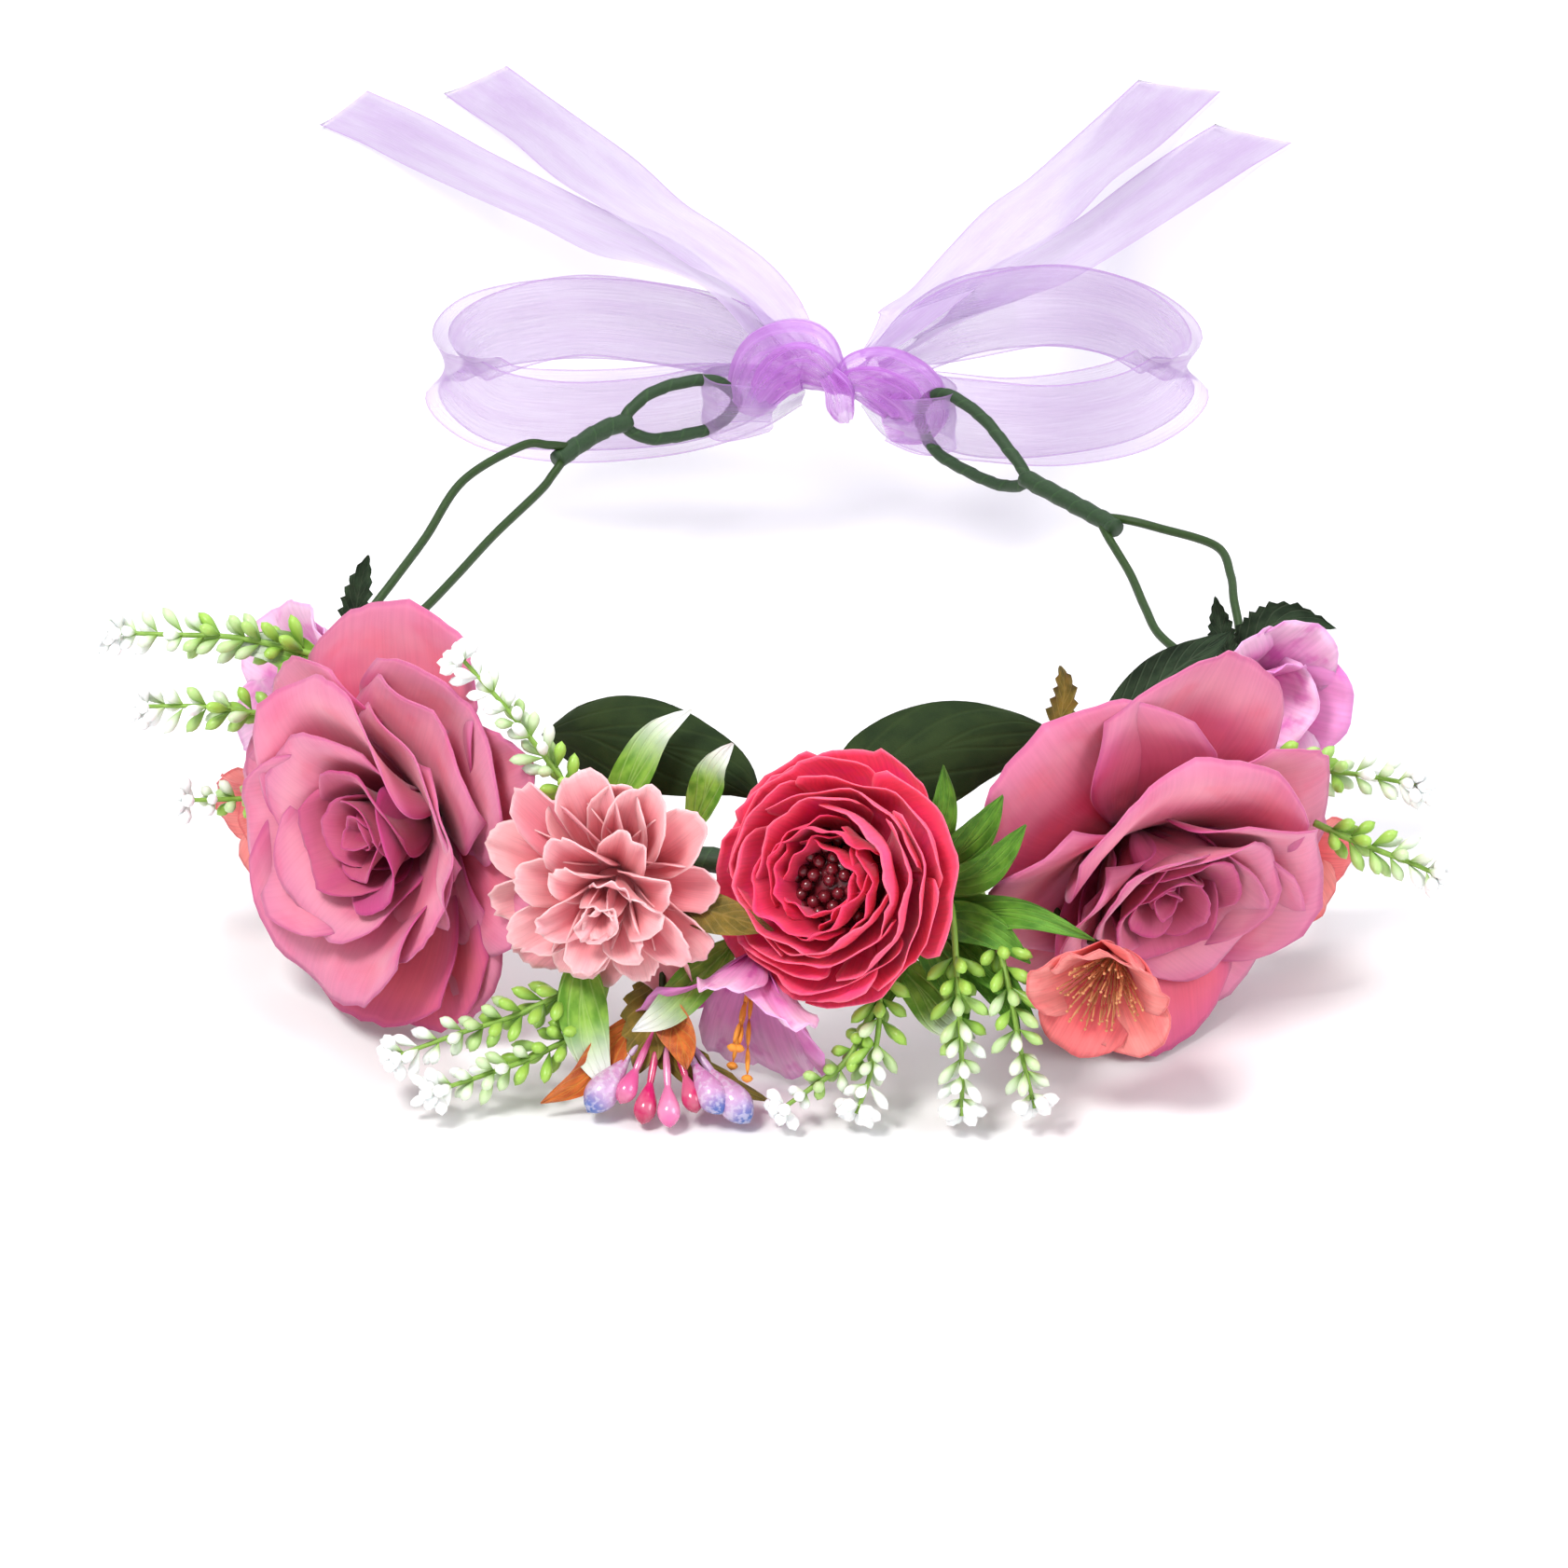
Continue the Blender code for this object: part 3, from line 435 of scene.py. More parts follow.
rose("left_rose", 220.9, 6, [
    (102, 4, 0.0, 46, 64, 8, -2, 50, 0.10, 30, 0.50),
    (60, 4, 0.4, 42, 54, 19, 12, 60, 0.10, 10, 0.45),
    (38, 4, 0.6, 44, 30, 10, 4, 34, 0.10, 20, 0.40),
    (-6, 4, 1.0, 41, 40, 12, 4, 36, 0.12, 20, 0.40),
    (-54, 4, 0.6, 43, 38, 12, 8, 30, 0.14, 30, 0.40),
    (-98, 4, 0.0, 46, 62, 22, 17, 60, 0.04, 0, 1.00),
    (-66, 4, 0.3, 45, 42, 16, 10, 60, 0.06, 10, 1.00),
    (205, 4, 0.6, 46, 52, 24, 12, 34, 0.12, 60, 0.50),
    (158, 4, 0.9, 45, 52, 27, 15, 34, 0.12, 60, 0.45),
], [
    (114, 4, 2.2, 43, 58, 52, 22, 24, 0.16, 80, 0.30),
    (66, 4, 2.0, 38, 48, 28, 22, 44, 0.24, 0, 0.45),
    (54, 4, 2.4, 33, 46, 38, 33, 40, 0.18, 0, 0.35),
    (10, 4, 2.8, 34, 40, 36, 31, 34, 0.18, 0, 0.35),
    (-38, 4, 2.4, 35, 42, 42, 33, 30, 0.14, 10, 0.62),
    (-96, 4, 2.0, 43, 60, 46, 18, 30, 0.08, 50, 0.40),
    (207, 4, 2.8, 40, 52, 54, 28, 22, 0.14, 60, 0.30),
    (250, 4, 3.6, 32, 46, 62, 36, 20, 0.14, 60, 0.35),
    (140, 4, 3.4, 34, 46, 62, 38, 20, 0.16, 70, 0.50),
], [
    (80, 3.4, 4.0, 26, 36, 68, 52, 14, 0.20, 50, 0.30),
    (-25, 3.4, 4.2, 27, 36, 64, 50, 14, 0.14, 40, 0.90),
    (215, 3.4, 4.4, 25, 36, 70, 48, 13, 0.20, 60, 0.30),
    (60, 2.6, 4.8, 20, 26, 78, 70, 9.0, 0.12, 30, 0.30),
    (180, 2.6, 4.8, 20, 26, 80, 64, 8.0, 0.16, 50, 0.30),
    (-60, 2.6, 5.0, 20, 26, 78, 62, 8.0, 0.16, 50, 0.25),
])
rose("right_rose", 296, -19, [
    (122, 4, 0.0, 48, 60, 6, -2, 44, 0.10, 60, 0.45),
    (74, 4, 0.3, 53, 50, 4, -4, 60, 0.14, 0, 0.40),
    (12, 4, 0.6, 45, 56, 14, 4, 50, 0.10, 40, 0.40),
    (-38, 4, 0.8, 44, 52, 18, 8, 44, 0.12, 50, 0.40),
    (-100, 4, 0.0, 47, 46, 56, 49, 60, 0.06, 0, 0.95),
    (-70, 4, 0.6, 39, 44, 26, 20, 44, 0.14, 40, 0.50),
    (170, 4, 0.8, 41, 46, 26, 18, 20, 0.26, 50, 0.45),
    (-142, 4, 0.8, 40, 46, 18, 8, 34, 0.16, 40, 0.45),
], [
    (88, 4, 2.0, 46, 66, 38, 16, 34, 0.12, 90, 0.30),
    (172, 4, 2.6, 40, 40, 54, 46, 15, 0.36, 10, 0.60),
    (12, 4, 2.4, 42, 58, 48, 22, 26, 0.14, 80, 0.22),
    (-42, 4, 2.2, 41, 54, 46, 24, 26, 0.14, 60, 0.35),
    (-96, 4, 2.6, 38, 50, 48, 28, 24, 0.16, 50, 0.35),
    (130, 4, 3.0, 34, 46, 60, 46, 17, 0.20, 60, 0.30),
    (30, 4, 3.4, 33, 50, 62, 34, 18, 0.16, 90, 0.20),
    (-35, 4, 3.6, 31, 46, 62, 38, 18, 0.16, 70, 0.30),
    (215, 4, 3.2, 33, 40, 58, 44, 18, 0.20, 40, 0.50),
], [
    (160, 3.4, 4.0, 28, 36, 70, 58, 13, 0.20, 50, 0.12),
    (40, 3.4, 4.2, 26, 36, 70, 50, 13, 0.18, 70, 0.30),
    (-80, 3.4, 4.4, 24, 34, 72, 54, 12, 0.18, 60, 0.35),
    (90, 2.6, 4.6, 22, 26, 78, 68, 8.5, 0.16, 50, 0.35),
    (-30, 2.6, 4.8, 22, 26, 80, 66, 8.5, 0.16, 50, 0.35),
    (210, 2.6, 5.0, 20, 26, 80, 66, 8.0, 0.16, 50, 0.30),
])


# The ranunculus: many thin ruffled petals in whorls, hot-pressed into a ball round a hollow that is
# full of glossy maroon seeds. Rims are cut wavy and stay paler than the crimson inside.
RANUNCULUS_CLOTH = petal_finish("raspberry petal cloth", (0.56, 0.001, 0.050), (0.84, 0.010, 0.130),
                                (0.93, 0.050, 0.160), (0.94, 0.170, 0.245), (0.82, 0.008, 0.270), 0.40,
                                60.0, 0.40, blush=0.22, rib_share=0.22)
CRIMSON_CLOTH = petal_finish("crimson petal cloth", (0.26, 0.000, 0.014), (0.60, 0.002, 0.055),
                             (0.84, 0.016, 0.110), (0.88, 0.070, 0.150), (0.84, 0.008, 0.250), 0.45, 60.0, 0.40,
                             blush=0.10, rib_share=0.22)
RANUNCULUS_TURN = (244, 26)
THIN_CLOTH = 0.28 * MM
ranunculus_seat = seat_of("ranunculus_calyx", *RANUNCULUS_TURN) + Vector((7, -1, -4)) * MM
ranunculus_place = stand(ranunculus_seat, *RANUNCULUS_TURN)


def whorl(shape, count, turn, root, rise, length, width, lean, spread, wrap, frill, seed, tone):
    """A whorl of like petals, each a little off its even place, size and slope."""
    for k in range(count):
        sway = math.sin(seed * 5.1 + k * 2.3)
        petal(shape, ranunculus_place, turn + 360 * k / count + 9 * sway, root * MM, rise * MM,
              length * MM * (1 + 0.05 * math.sin(k * 3 + seed)), width * MM,
              lean + 4 * sway, spread + 5 * math.sin(k * 4.1 + seed), 1 / (wrap * MM), 0.0, frill, 0.0, 0.24,
              tone + 0.2 * math.sin(k * 1.7 + seed), seed + k, (20, 14),
              skew=0.16 + 0.06 * sway, waves=11, ragged=0.05)


shape = bmesh.new()
whorl(shape, 5, 100, 5, 0.0, 26.5, 46, 0, 52, 30.0, 0.012, 3, 0.30)
whorl(shape, 5, 64, 5, 0.8, 27.0, 44, 6, 78, 26.0, 0.014, 13, 0.35)
thicken(new_piece("ranunculus_outer_whorls", shape, RANUNCULUS_CLOTH, "crown",
                  ["ranunculus_outer_petals"]), THIN_CLOTH)
shape = bmesh.new()
whorl(shape, 4, 85, 4.8, 1.6, 27, 44, 18, 92, 22.0, 0.016, 23, 0.40)
whorl(shape, 4, 35, 4.6, 2.4, 26, 38, 32, 98, 18.5, 0.020, 33, 0.45)
thicken(new_piece("ranunculus_middle_whorls", shape, RANUNCULUS_CLOTH, "crown",
                  ["ranunculus_middle_petals"]), THIN_CLOTH)
shape = bmesh.new()
whorl(shape, 5, 10, 4.4, 3.4, 23.5, 28, 48, 98, 15.0, 0.026, 43, 0.35)
whorl(shape, 5, 50, 4.0, 4.2, 19, 22, 62, 96, 12.5, 0.030, 53, 0.40)
thicken(new_piece("ranunculus_inner_whorls", shape, CRIMSON_CLOTH, "crown",
                  ["ranunculus_inner_petals"]), THIN_CLOTH)


def drop(shape, base, axis, length, radius, sides=10, rings=8, fat=0.62, mark=0.5):
    """A smooth seed, bud or bead standing on its base along its axis, fattest at a share of it."""
    uv, tint = cloth_marks(shape)
    axis = axis.normalized()
    side = axis.orthogonal().normalized()
    other = axis.cross(side)
    circles = []
    for j in range(1, rings):
        v = j / rings
        swell = math.sin(math.pi * v ** (math.log(0.5) / math.log(fat))) ** 0.75
        centre = base + axis * length * v
        circle = []
        for k in range(sides):
            out = spoke(side, other, math.tau * k / sides)
            circle.append(shape.verts.new(centre + out * radius * swell))
        circles.append(circle)
    ends = (shape.verts.new(base), shape.verts.new(base + axis * length))
    made = []
    for j in range(len(circles) - 1):
        for k in range(sides):
            m = (k + 1) % sides
            face = shape.faces.new((circles[j][k], circles[j][m], circles[j + 1][m], circles[j + 1][k]))
            made.append((face, (j + 1, j + 1, j + 2, j + 2)))
    for k in range(sides):
        m = (k + 1) % sides
        made.append((shape.faces.new((ends[0], circles[0][m], circles[0][k])), (0, 1, 1)))
        crown_face = shape.faces.new((ends[1], circles[-1][k], circles[-1][m]))
        made.append((crown_face, (rings, rings - 1, rings - 1)))
    for face, heights in made:
        for loop, height in zip(face.loops, heights):
            loop[uv].uv = (0.5, height / rings)
            loop[tint].uv = (mark, 0.5)


def seed_finish():
    finish = Finish("glossy maroon seed", 0.22, coat=0.6)
    spots = finish.noise(finish.own_place(), 260.0, 2.0)
    u, v = finish.map("petal")
    base = finish.mix(finish.span(spots, 0.35, 0.7), (0.030, 0.001, 0.003), (0.130, 0.006, 0.012))
    finish.colour(finish.mix(finish.span(v, 0.6, 1.0, 0.0, 0.7), base, (0.200, 0.020, 0.030)))
    finish.bump(spots, 0.0002, 0.6)
    return finish.material


SEED_COUNT = 44
SEED_BED_RADIUS = 10.4 * MM
SEED_BED_HEIGHT = 12.5 * MM
GOLDEN_ANGLE = math.pi * (3 - math.sqrt(5))
shape = bmesh.new()
for k in range(SEED_COUNT):
    out = SEED_BED_RADIUS * math.sqrt((k + 0.5) / SEED_COUNT)
    angle = k * GOLDEN_ANGLE
    foot = Vector((out * math.cos(angle) - 1.2 * MM, out * math.sin(angle) - MM, SEED_BED_HEIGHT - out * 0.30))
    axis = ranunculus_place.to_3x3() @ Vector((0.35 * math.cos(angle + 1), 0.35 * math.sin(angle + 1), 1.0))
    drop(shape, ranunculus_place @ foot, axis, 4.6 * MM, 1.55 * MM, 10, 8, 0.6)
cushion_foot = ranunculus_place @ Vector((0, 0, 2 * MM))
drop(shape, cushion_foot, ranunculus_place.to_3x3() @ Vector((0, 0, 1)), 12 * MM, 11 * MM, 24, 10, 0.5)
new_piece("ranunculus_seeds", shape, seed_finish(), "crown", ["ranunculus_berry_centre"])


# The dahlia: spoon petals of salmon cloth with pale rims in two wheels, and curled upright petals
# at the centre, all glued on a small round core. It stands off the band on its own wire.
# The darker heart colour at each petal's foot is painted shade, and the light colour towards the tip is a
# painted highlight.
DAHLIA_CLOTH = petal_finish("salmon petal cloth", (0.60, 0.070, 0.100), (0.80, 0.240, 0.270),
                            (0.90, 0.430, 0.450), (0.95, 0.640, 0.640), (0.84, 0.220, 0.300), 0.30, 50.0, 0.35,
                            shine=0.5, gloss=0.3, blush=0.12, rib_share=0.16)
DAHLIA_TURN = (256, -4)
dahlia_place = stand(middle_of("dahlia_outer_petals") + Vector((-1.5, 0.5, -0.5)) * MM, *DAHLIA_TURN)
rng = random.Random(15)


def dahlia_wheel(shape, count, turn, root, rise, length, width, lean, spread, wrap, curl, seed, frill=0.012):
    """A wheel of hand-cut petals: no two have quite the same size or slope."""
    for k in range(count):
        petal(shape, dahlia_place, turn + 360 * k / count + rng.uniform(-6, 6), root * MM, rise * MM,
              length * MM * rng.uniform(0.88, 1.08), width * MM * rng.uniform(0.88, 1.10),
              lean + rng.uniform(-9, 9), spread + rng.uniform(-12, 12), 1 / (wrap * MM), 0.0, frill,
              curl + rng.uniform(-20, 20), 0.24, rng.uniform(0.2, 0.8), seed + k, (14, 14), 0.36,
              rng.uniform(-0.12, 0.12), ragged=0.05)


shape = bmesh.new()
dahlia_wheel(shape, 10, 8, 3.0, 0.0, 26.5, 15.5, 22, 4, 8.0, -10, 61)
for turn, length in ((72, 31), (100, 33), (128, 31)):
    petal(shape, dahlia_place, turn, 3.0 * MM, -0.5 * MM, length * MM, 16 * MM, 24, 8, 1 / (8 * MM),
          0.0, 0.012, -10, 0.24, turn / 150, turn, (14, 14), 0.36, ragged=0.05)
thicken(new_piece("dahlia_outer_wheel", shape, DAHLIA_CLOTH, "crown", ["dahlia_outer_petals"]))
shape = bmesh.new()
dahlia_wheel(shape, 8, 26, 2.5, 2.0, 24, 14.5, 46, 28, 7.0, 0, 81)
thicken(new_piece("dahlia_inner_wheel", shape, DAHLIA_CLOTH, "crown", ["dahlia_inner_petals"]))
shape = bmesh.new()
dahlia_wheel(shape, 6, 10, 1.6, 3.0, 21, 13, 64, 46, 5.5, 20, 101, 0.03)
dahlia_wheel(shape, 4, 40, 0.8, 4.0, 18, 12, 84, 72, 4.5, 50, 111, 0.05)
facing = dahlia_place.to_3x3() @ Vector((0, 0, 1))
drop(shape, dahlia_place.translation, facing, 10 * MM, 4.5 * MM, 16, 8, 0.5, 0.3)
thicken(new_piece("dahlia_heart", shape, DAHLIA_CLOTH, "crown", ["dahlia_core"]))


# The small blossoms: five to eight thin cloth petals pressed into a funnel. The front coral one
# holds a brush of tan threads and the lily four orange ones; the lilac ones are dyed to orchid.
CORAL_CLOTH = petal_finish("coral petal cloth", (0.60, 0.030, 0.045), (0.80, 0.150, 0.140),
                           (0.90, 0.320, 0.290), (0.70, 0.090, 0.100), (0.70, 0.060, 0.090), 0.40, 45.0, 0.6,
                           rib_share=0.25)
LILAC_CLOTH = petal_finish("lilac petal cloth", (0.56, 0.050, 0.380), (0.76, 0.270, 0.560),
                           (0.84, 0.560, 0.720), (0.72, 0.220, 0.620), (0.58, 0.035, 0.380), 0.55, 30.0, 0.3,
                           blush=0.12, rib_share=0.2)


def blossom(name, node, cloth, azimuth, tilt, radius, rows, spin=0, seed=0, shift=(0, 0, 0), slim=0.92):
    """A funnel of petals; each row is turn, size, lean and spread. Gives back its foot's own frame."""
    place = stand(middle_of(node) + Vector(shift) * MM, azimuth, tilt, spin)
    place = place @ Matrix.Translation((0, 0, -radius / 2))
    shape = bmesh.new()
    for k, (turn, size, lean, spread) in enumerate(rows):
        petal(shape, place, turn, 0.8 * MM, 0.0, radius * size, radius * slim * size, lean, spread,
              1 / (radius * 0.75), 0.06, 0.03, 12, 0.30, 0.3 + 0.25 * (k % 3), seed + k, (12, 12), 0.22)
    thicken(new_piece(name, shape, cloth, "crown", [node]), THIN_CLOTH)
    return place


coral_place = blossom(
    "coral_blossom", "coral_blossom_petals", CORAL_CLOTH, 256, -12, 23 * MM,
    [(100, 1.0, 66, 38), (170, 1.0, 60, 34), (242, 1.05, 58, 30), (314, 1.05, 60, 30), (28, 1.0, 62, 34)],
    0, 201)


def thread_finish(name, dark, light, tip):
    finish = Finish(name, 0.6)
    u, v = finish.map("petal")
    grain = finish.noise(finish.own_place(), 500.0, 2.0)
    finish.colour(finish.mix(finish.span(v, 0.75, 1.0), finish.mix(grain, dark, light), tip))
    finish.bump(grain, 0.0001, 0.5)
    return finish.material


def threads(name, node, place, count, length, radius, splay, finish, seed, tip=1.6):
    """A brush of bent threads, each with a knob; tip is the knob's radius in thread radii."""
    shape = bmesh.new()
    rng = random.Random(seed)
    for k in range(count):
        angle, out = rng.uniform(0, math.tau), math.sqrt(rng.random()) * splay
        lean = Vector((math.cos(angle) * out, math.sin(angle) * out, 1.0)).normalized()
        start = Vector((math.cos(angle) * out, math.sin(angle) * out, 1.0)) * 2 * MM
        end = start + lean * length * rng.uniform(0.8, 1.05)
        side = lean.orthogonal() * rng.uniform(-0.06, 0.06) * length
        for i in range(4):
            a = start.lerp(end, i / 4) + side * math.sin(math.pi * i / 4)
            b = start.lerp(end, (i + 1) / 4) + side * math.sin(math.pi * (i + 1) / 4)
            a, b = place @ a, place @ b
            drop(shape, a - (b - a) * 0.1, b - a, (b - a).length * 1.2, radius, 5, 4, 0.5, 0.5)
        top = place @ end
        drop(shape, top, place.to_3x3() @ lean, radius * 3.4, radius * tip, 6, 5, 0.5, 1.0)
    new_piece(name, shape, finish, "crown", [node])


TAN_THREAD = thread_finish("tan stamen thread", (0.42, 0.14, 0.05), (0.72, 0.36, 0.16), (0.60, 0.25, 0.08))
ORANGE_THREAD = thread_finish("orange stamen", (0.70, 0.24, 0.02), (0.80, 0.33, 0.03), (0.75, 0.20, 0.02))
threads("coral_stamens", "coral_blossom_stamens", coral_place, 60, 17 * MM, 0.22 * MM, 0.62, TAN_THREAD,
        5)
lily_place = blossom(
    "bottom_lily", "lily_petals", LILAC_CLOTH, 256, -50, 27 * MM,
    [(88, 0.85, 44, 20), (30, 1.0, 50, 26), (-28, 1.1, 58, 40), (-72, 1.15, 60, 46), (-118, 1.1, 56, 38),
     (176, 1.1, 46, 22)], 12, 221, (-5, 1, 3), 0.62)
threads("lily_stamens", "lily_stamen", lily_place, 4, 24 * MM, 0.6 * MM, 0.30, ORANGE_THREAD,
        8, 2.2)
side_rows = [(90, 1.0, 62, 40), (20, 1.0, 58, 34), (-50, 1.0, 58, 34), (-120, 1.0, 60, 36), (160, 1.0, 60, 36)]
blossom("left_lilac_blossom", "left_lilac_flower", LILAC_CLOTH, 205, 24, 28 * MM, side_rows,
        10, 241, (2, -2, 1))
blossom("right_lilac_blossom", "right_lilac_flower", LILAC_CLOTH, 300, 12, 28 * MM,
        side_rows + [(55, 0.85, 74, 66), (190, 0.85, 74, 66), (-60, 0.85, 74, 66)], 30, 261, (-10, -6, 1))
left_coral_place = blossom("left_coral_blossom", "left_coral_flower", CORAL_CLOTH, 215, -8,
                           23 * MM, side_rows + [(55, 0.8, 74, 60), (190, 0.8, 74, 60)], 20, 281, (9, 4, 3))
right_coral_place = blossom("right_coral_blossom", "right_coral_flower", CORAL_CLOTH, 320, -10,
                            20 * MM, side_rows, 50, 301, (-10, 0, 2))


# The leaves: stamped from satin and cloth, or moulded, and ribbed by a hot press; some have a
# saw-toothed edge. Each is glued to a short wire or straight to the band's tape.
def leaf_finish(name, dark, light, rib, roughness=0.6, sheen=0.15, teeth=9.0, weave=0.0, tip=None):
    finish = Finish(name, roughness, sheen=sheen, glow=0.08)
    finish.shader.inputs["Specular IOR Level"].default_value = 0.2
    u, v = finish.map("petal")
    tone, seed = finish.map("tone")
    side = finish.from_middle(u)
    slant = finish.math("SUBTRACT", finish.times(v, teeth), finish.times(side, 2.2))
    vein = finish.math("ABSOLUTE", finish.math("SUBTRACT", finish.math("FRACT", slant), 0.5))
    line = finish.span(vein, 0.0, 0.16, 1.0, 0.0)
    middle = finish.span(side, 0.0, 0.10, 1.0, 0.0)
    ribs = finish.math("MAXIMUM", line, middle)
    patch = finish.noise(finish.join(finish.times(u, 2.0), finish.times(v, 4.0), seed), 1.5, 3.0)
    base = finish.mix(finish.span(patch, 0.3, 0.7), dark, light)
    base = finish.mix(finish.times(ribs, 0.45), base, rib)
    if tip:
        base = finish.mix(finish.span(v, 0.45, 0.95), base, tip)
    finish.colour(base)
    cross = finish.noise(finish.join(finish.times(u, 120.0), finish.times(v, 240.0)), 1.0, 1.0)
    finish.bump(finish.plus(finish.times(ribs, -0.7), finish.times(cross, 0.2 + weave)), 0.0003, 0.8)
    return finish.material


def leaf(shape, route, width, facing_out, cup, teeth, bite, ripple, seed, tone=0.5, belly=0.42):
    """A leaf along a route in millimetres, its upper face turned towards facing_out, fattest at its
    belly. It is cupped across and rippled along; a saw-toothed edge bites in by a share."""
    across, along = 10, 26
    line = made_route(route, 12)
    face_way = Vector(facing_out).normalized()
    rows = []
    for j in range(along + 1):
        v = j / along
        reach = v * (len(line) - 1)
        low = min(int(reach), len(line) - 2)
        centre = line[low].lerp(line[low + 1], reach - low)
        ahead = (line[low + 1] - line[low]).normalized()
        side = ahead.cross(face_way).normalized()
        up = side.cross(ahead)
        half = width * MM / 2 * max(0.02, math.sin(math.pi * v ** (math.log(0.5) / math.log(belly)))) ** 0.8
        row = []
        for i in range(across + 1):
            u = 2 * i / across - 1
            reach_out = half * u
            if teeth and abs(u) > 0.99:
                reach_out *= 1 + bite * (2 * ((v * teeth) % 1.0) - 1)
            lift = cup * half * u * u + ripple * MM * math.sin(7 * v + seed + 2 * u) * abs(u)
            lift += 0.4 * MM * math.sin(40 * v - 3 * abs(u)) * abs(u) * (1 if teeth else 0.3)
            row.append(shape.verts.new(centre + side * reach_out + up * lift))
        rows.append(row)
    skin_rows(shape, rows, tone, seed)


def leaf_piece(name, cloth, nodes, leaves):
    """One object of like leaves, each given as the arguments of leaf."""
    shape = bmesh.new()
    for each in leaves:
        leaf(shape, *each)
    new_piece(name, shape, cloth, "crown", nodes)


SATIN_LEAF = leaf_finish("dark satin leaf", (0.008, 0.022, 0.003), (0.020, 0.040, 0.007), (0.026, 0.048, 0.010),
                         0.70, 0.0, 3.0, 0.5)
DARK_LEAF = leaf_finish("dark cloth leaf", (0.008, 0.020, 0.008), (0.026, 0.050, 0.022), (0.060, 0.090, 0.050),
                        0.75, 0.0, 8.0)
BRIGHT_LEAF = leaf_finish("bright green leaf", (0.050, 0.170, 0.012), (0.130, 0.330, 0.030),
                          (0.200, 0.420, 0.060), 0.42, 0.1, 2.0)
PALE_LEAF = leaf_finish("green leaf with a white tip", (0.090, 0.250, 0.015), (0.260, 0.470, 0.060),
                        (0.360, 0.560, 0.140), 0.5, 0.1, 2.0, tip=(0.84, 0.86, 0.82))
OLIVE_LEAF = leaf_finish("olive woven leaf", (0.130, 0.110, 0.012), (0.300, 0.200, 0.025),
                         (0.420, 0.300, 0.070), 0.7, 0.2, 7.0, 0.7)
ORANGE_LEAF = leaf_finish("orange painted leaf", (0.46, 0.080, 0.010), (0.74, 0.190, 0.030),
                          (0.62, 0.300, 0.040), 0.6, 0.2, 5.0, 0.4)
FRONT = (0, -0.5, 0.87)
LOW_FRONT = (0, -0.9, 0.5)

# Each leaf below: its route, width, the way it faces, its cup, teeth, bite, ripple and seed.
leaf_piece("left_satin_leaf_cloth", SATIN_LEAF, ["left_satin_leaf"], [
    ([(-55, -62, 57), (-46, -72, 63), (-36, -80, 66), (-25, -86, 66), (-14, -89, 63), (-7, -92, 58)],
     21, (0.1, -0.8, 0.6), -0.35, 0, 0, 0.6, 1)])
leaf_piece("right_satin_leaf_cloth", SATIN_LEAF, ["right_satin_leaf"], [
    ([(6, -92, 57), (15, -92, 61), (26, -88, 65), (37, -83, 67), (48, -76, 65), (58, -67, 60)],
     24, (-0.1, -0.8, 0.6), -0.35, 0, 0, 0.6, 2)])
leaf_piece("left_serrated_leaf_cloth", DARK_LEAF, ["left_serrated_leaf"], [
    ([(-97, -20, 52), (-97, -17, 60), (-96, -15, 67), (-94, -12, 74)],
     7, (-0.2, -0.8, 0.5), 0.3, 9, 0.25, 0.6, 3)])
leaf_piece("right_serrated_leaf_cloth", DARK_LEAF, ["right_serrated_leaf"], [
    ([(98, -14, 48), (103, -13, 54), (110, -13, 58), (121, -17, 58)],
     10, (0.2, -0.6, 0.8), 0.3, 13, 0.2, 0.6, 5),
    ([(98, -18, 48), (96, -16, 53), (95, -14, 58), (94, -13, 64)],
     6, (0.0, -0.9, 0.4), 0.3, 9, 0.2, 0.6, 6)])
leaf_piece("right_end_leaf_cloth", DARK_LEAF, ["right_end_leaf"], [
    ([(68, -52, 52), (78, -44, 57), (87, -34, 59), (97, -22, 60)], 11, (0.5, -0.3, 0.8), 0.3, 0, 0, 0.6, 7)])
bright_leaves = (
    ([(28, -103, 46), (31, -107, 57), (33, -108, 66), (33, -107, 75)], 8),
    ([(30, -104, 44), (37, -108, 54), (42, -110, 62), (46, -110, 69)], 9),
    ([(31, -106, 44), (40, -112, 50), (46, -114, 57), (51, -114, 64)], 8),
    ([(31, -106, 38), (42, -114, 42), (52, -121, 45), (66, -128, 43)], 8),
    ([(30, -106, 36), (38, -115, 40), (45, -121, 40), (52, -126, 36)], 9),
    ([(30, -106, 36), (38, -117, 34), (46, -124, 30), (53, -130, 24)], 8),
    ([(28, -108, 34), (32, -118, 32), (36, -124, 27), (38, -128, 20)], 8),
    ([(28, -108, 34), (40, -117, 30), (46, -122, 24), (50, -126, 17)], 7),
    ([(24, -106, 40), (22, -116, 34), (20, -122, 27), (16, -126, 20)], 8))
leaf_piece("bright_leaf_cluster", BRIGHT_LEAF, ["leaf_cluster"], [
    (route, width, (0.1, -0.9, 0.45), 0.35, 0, 0, 0.5, 30 + k, 0.2 + 0.08 * k, 0.36)
    for k, (route, width) in enumerate(bright_leaves)])
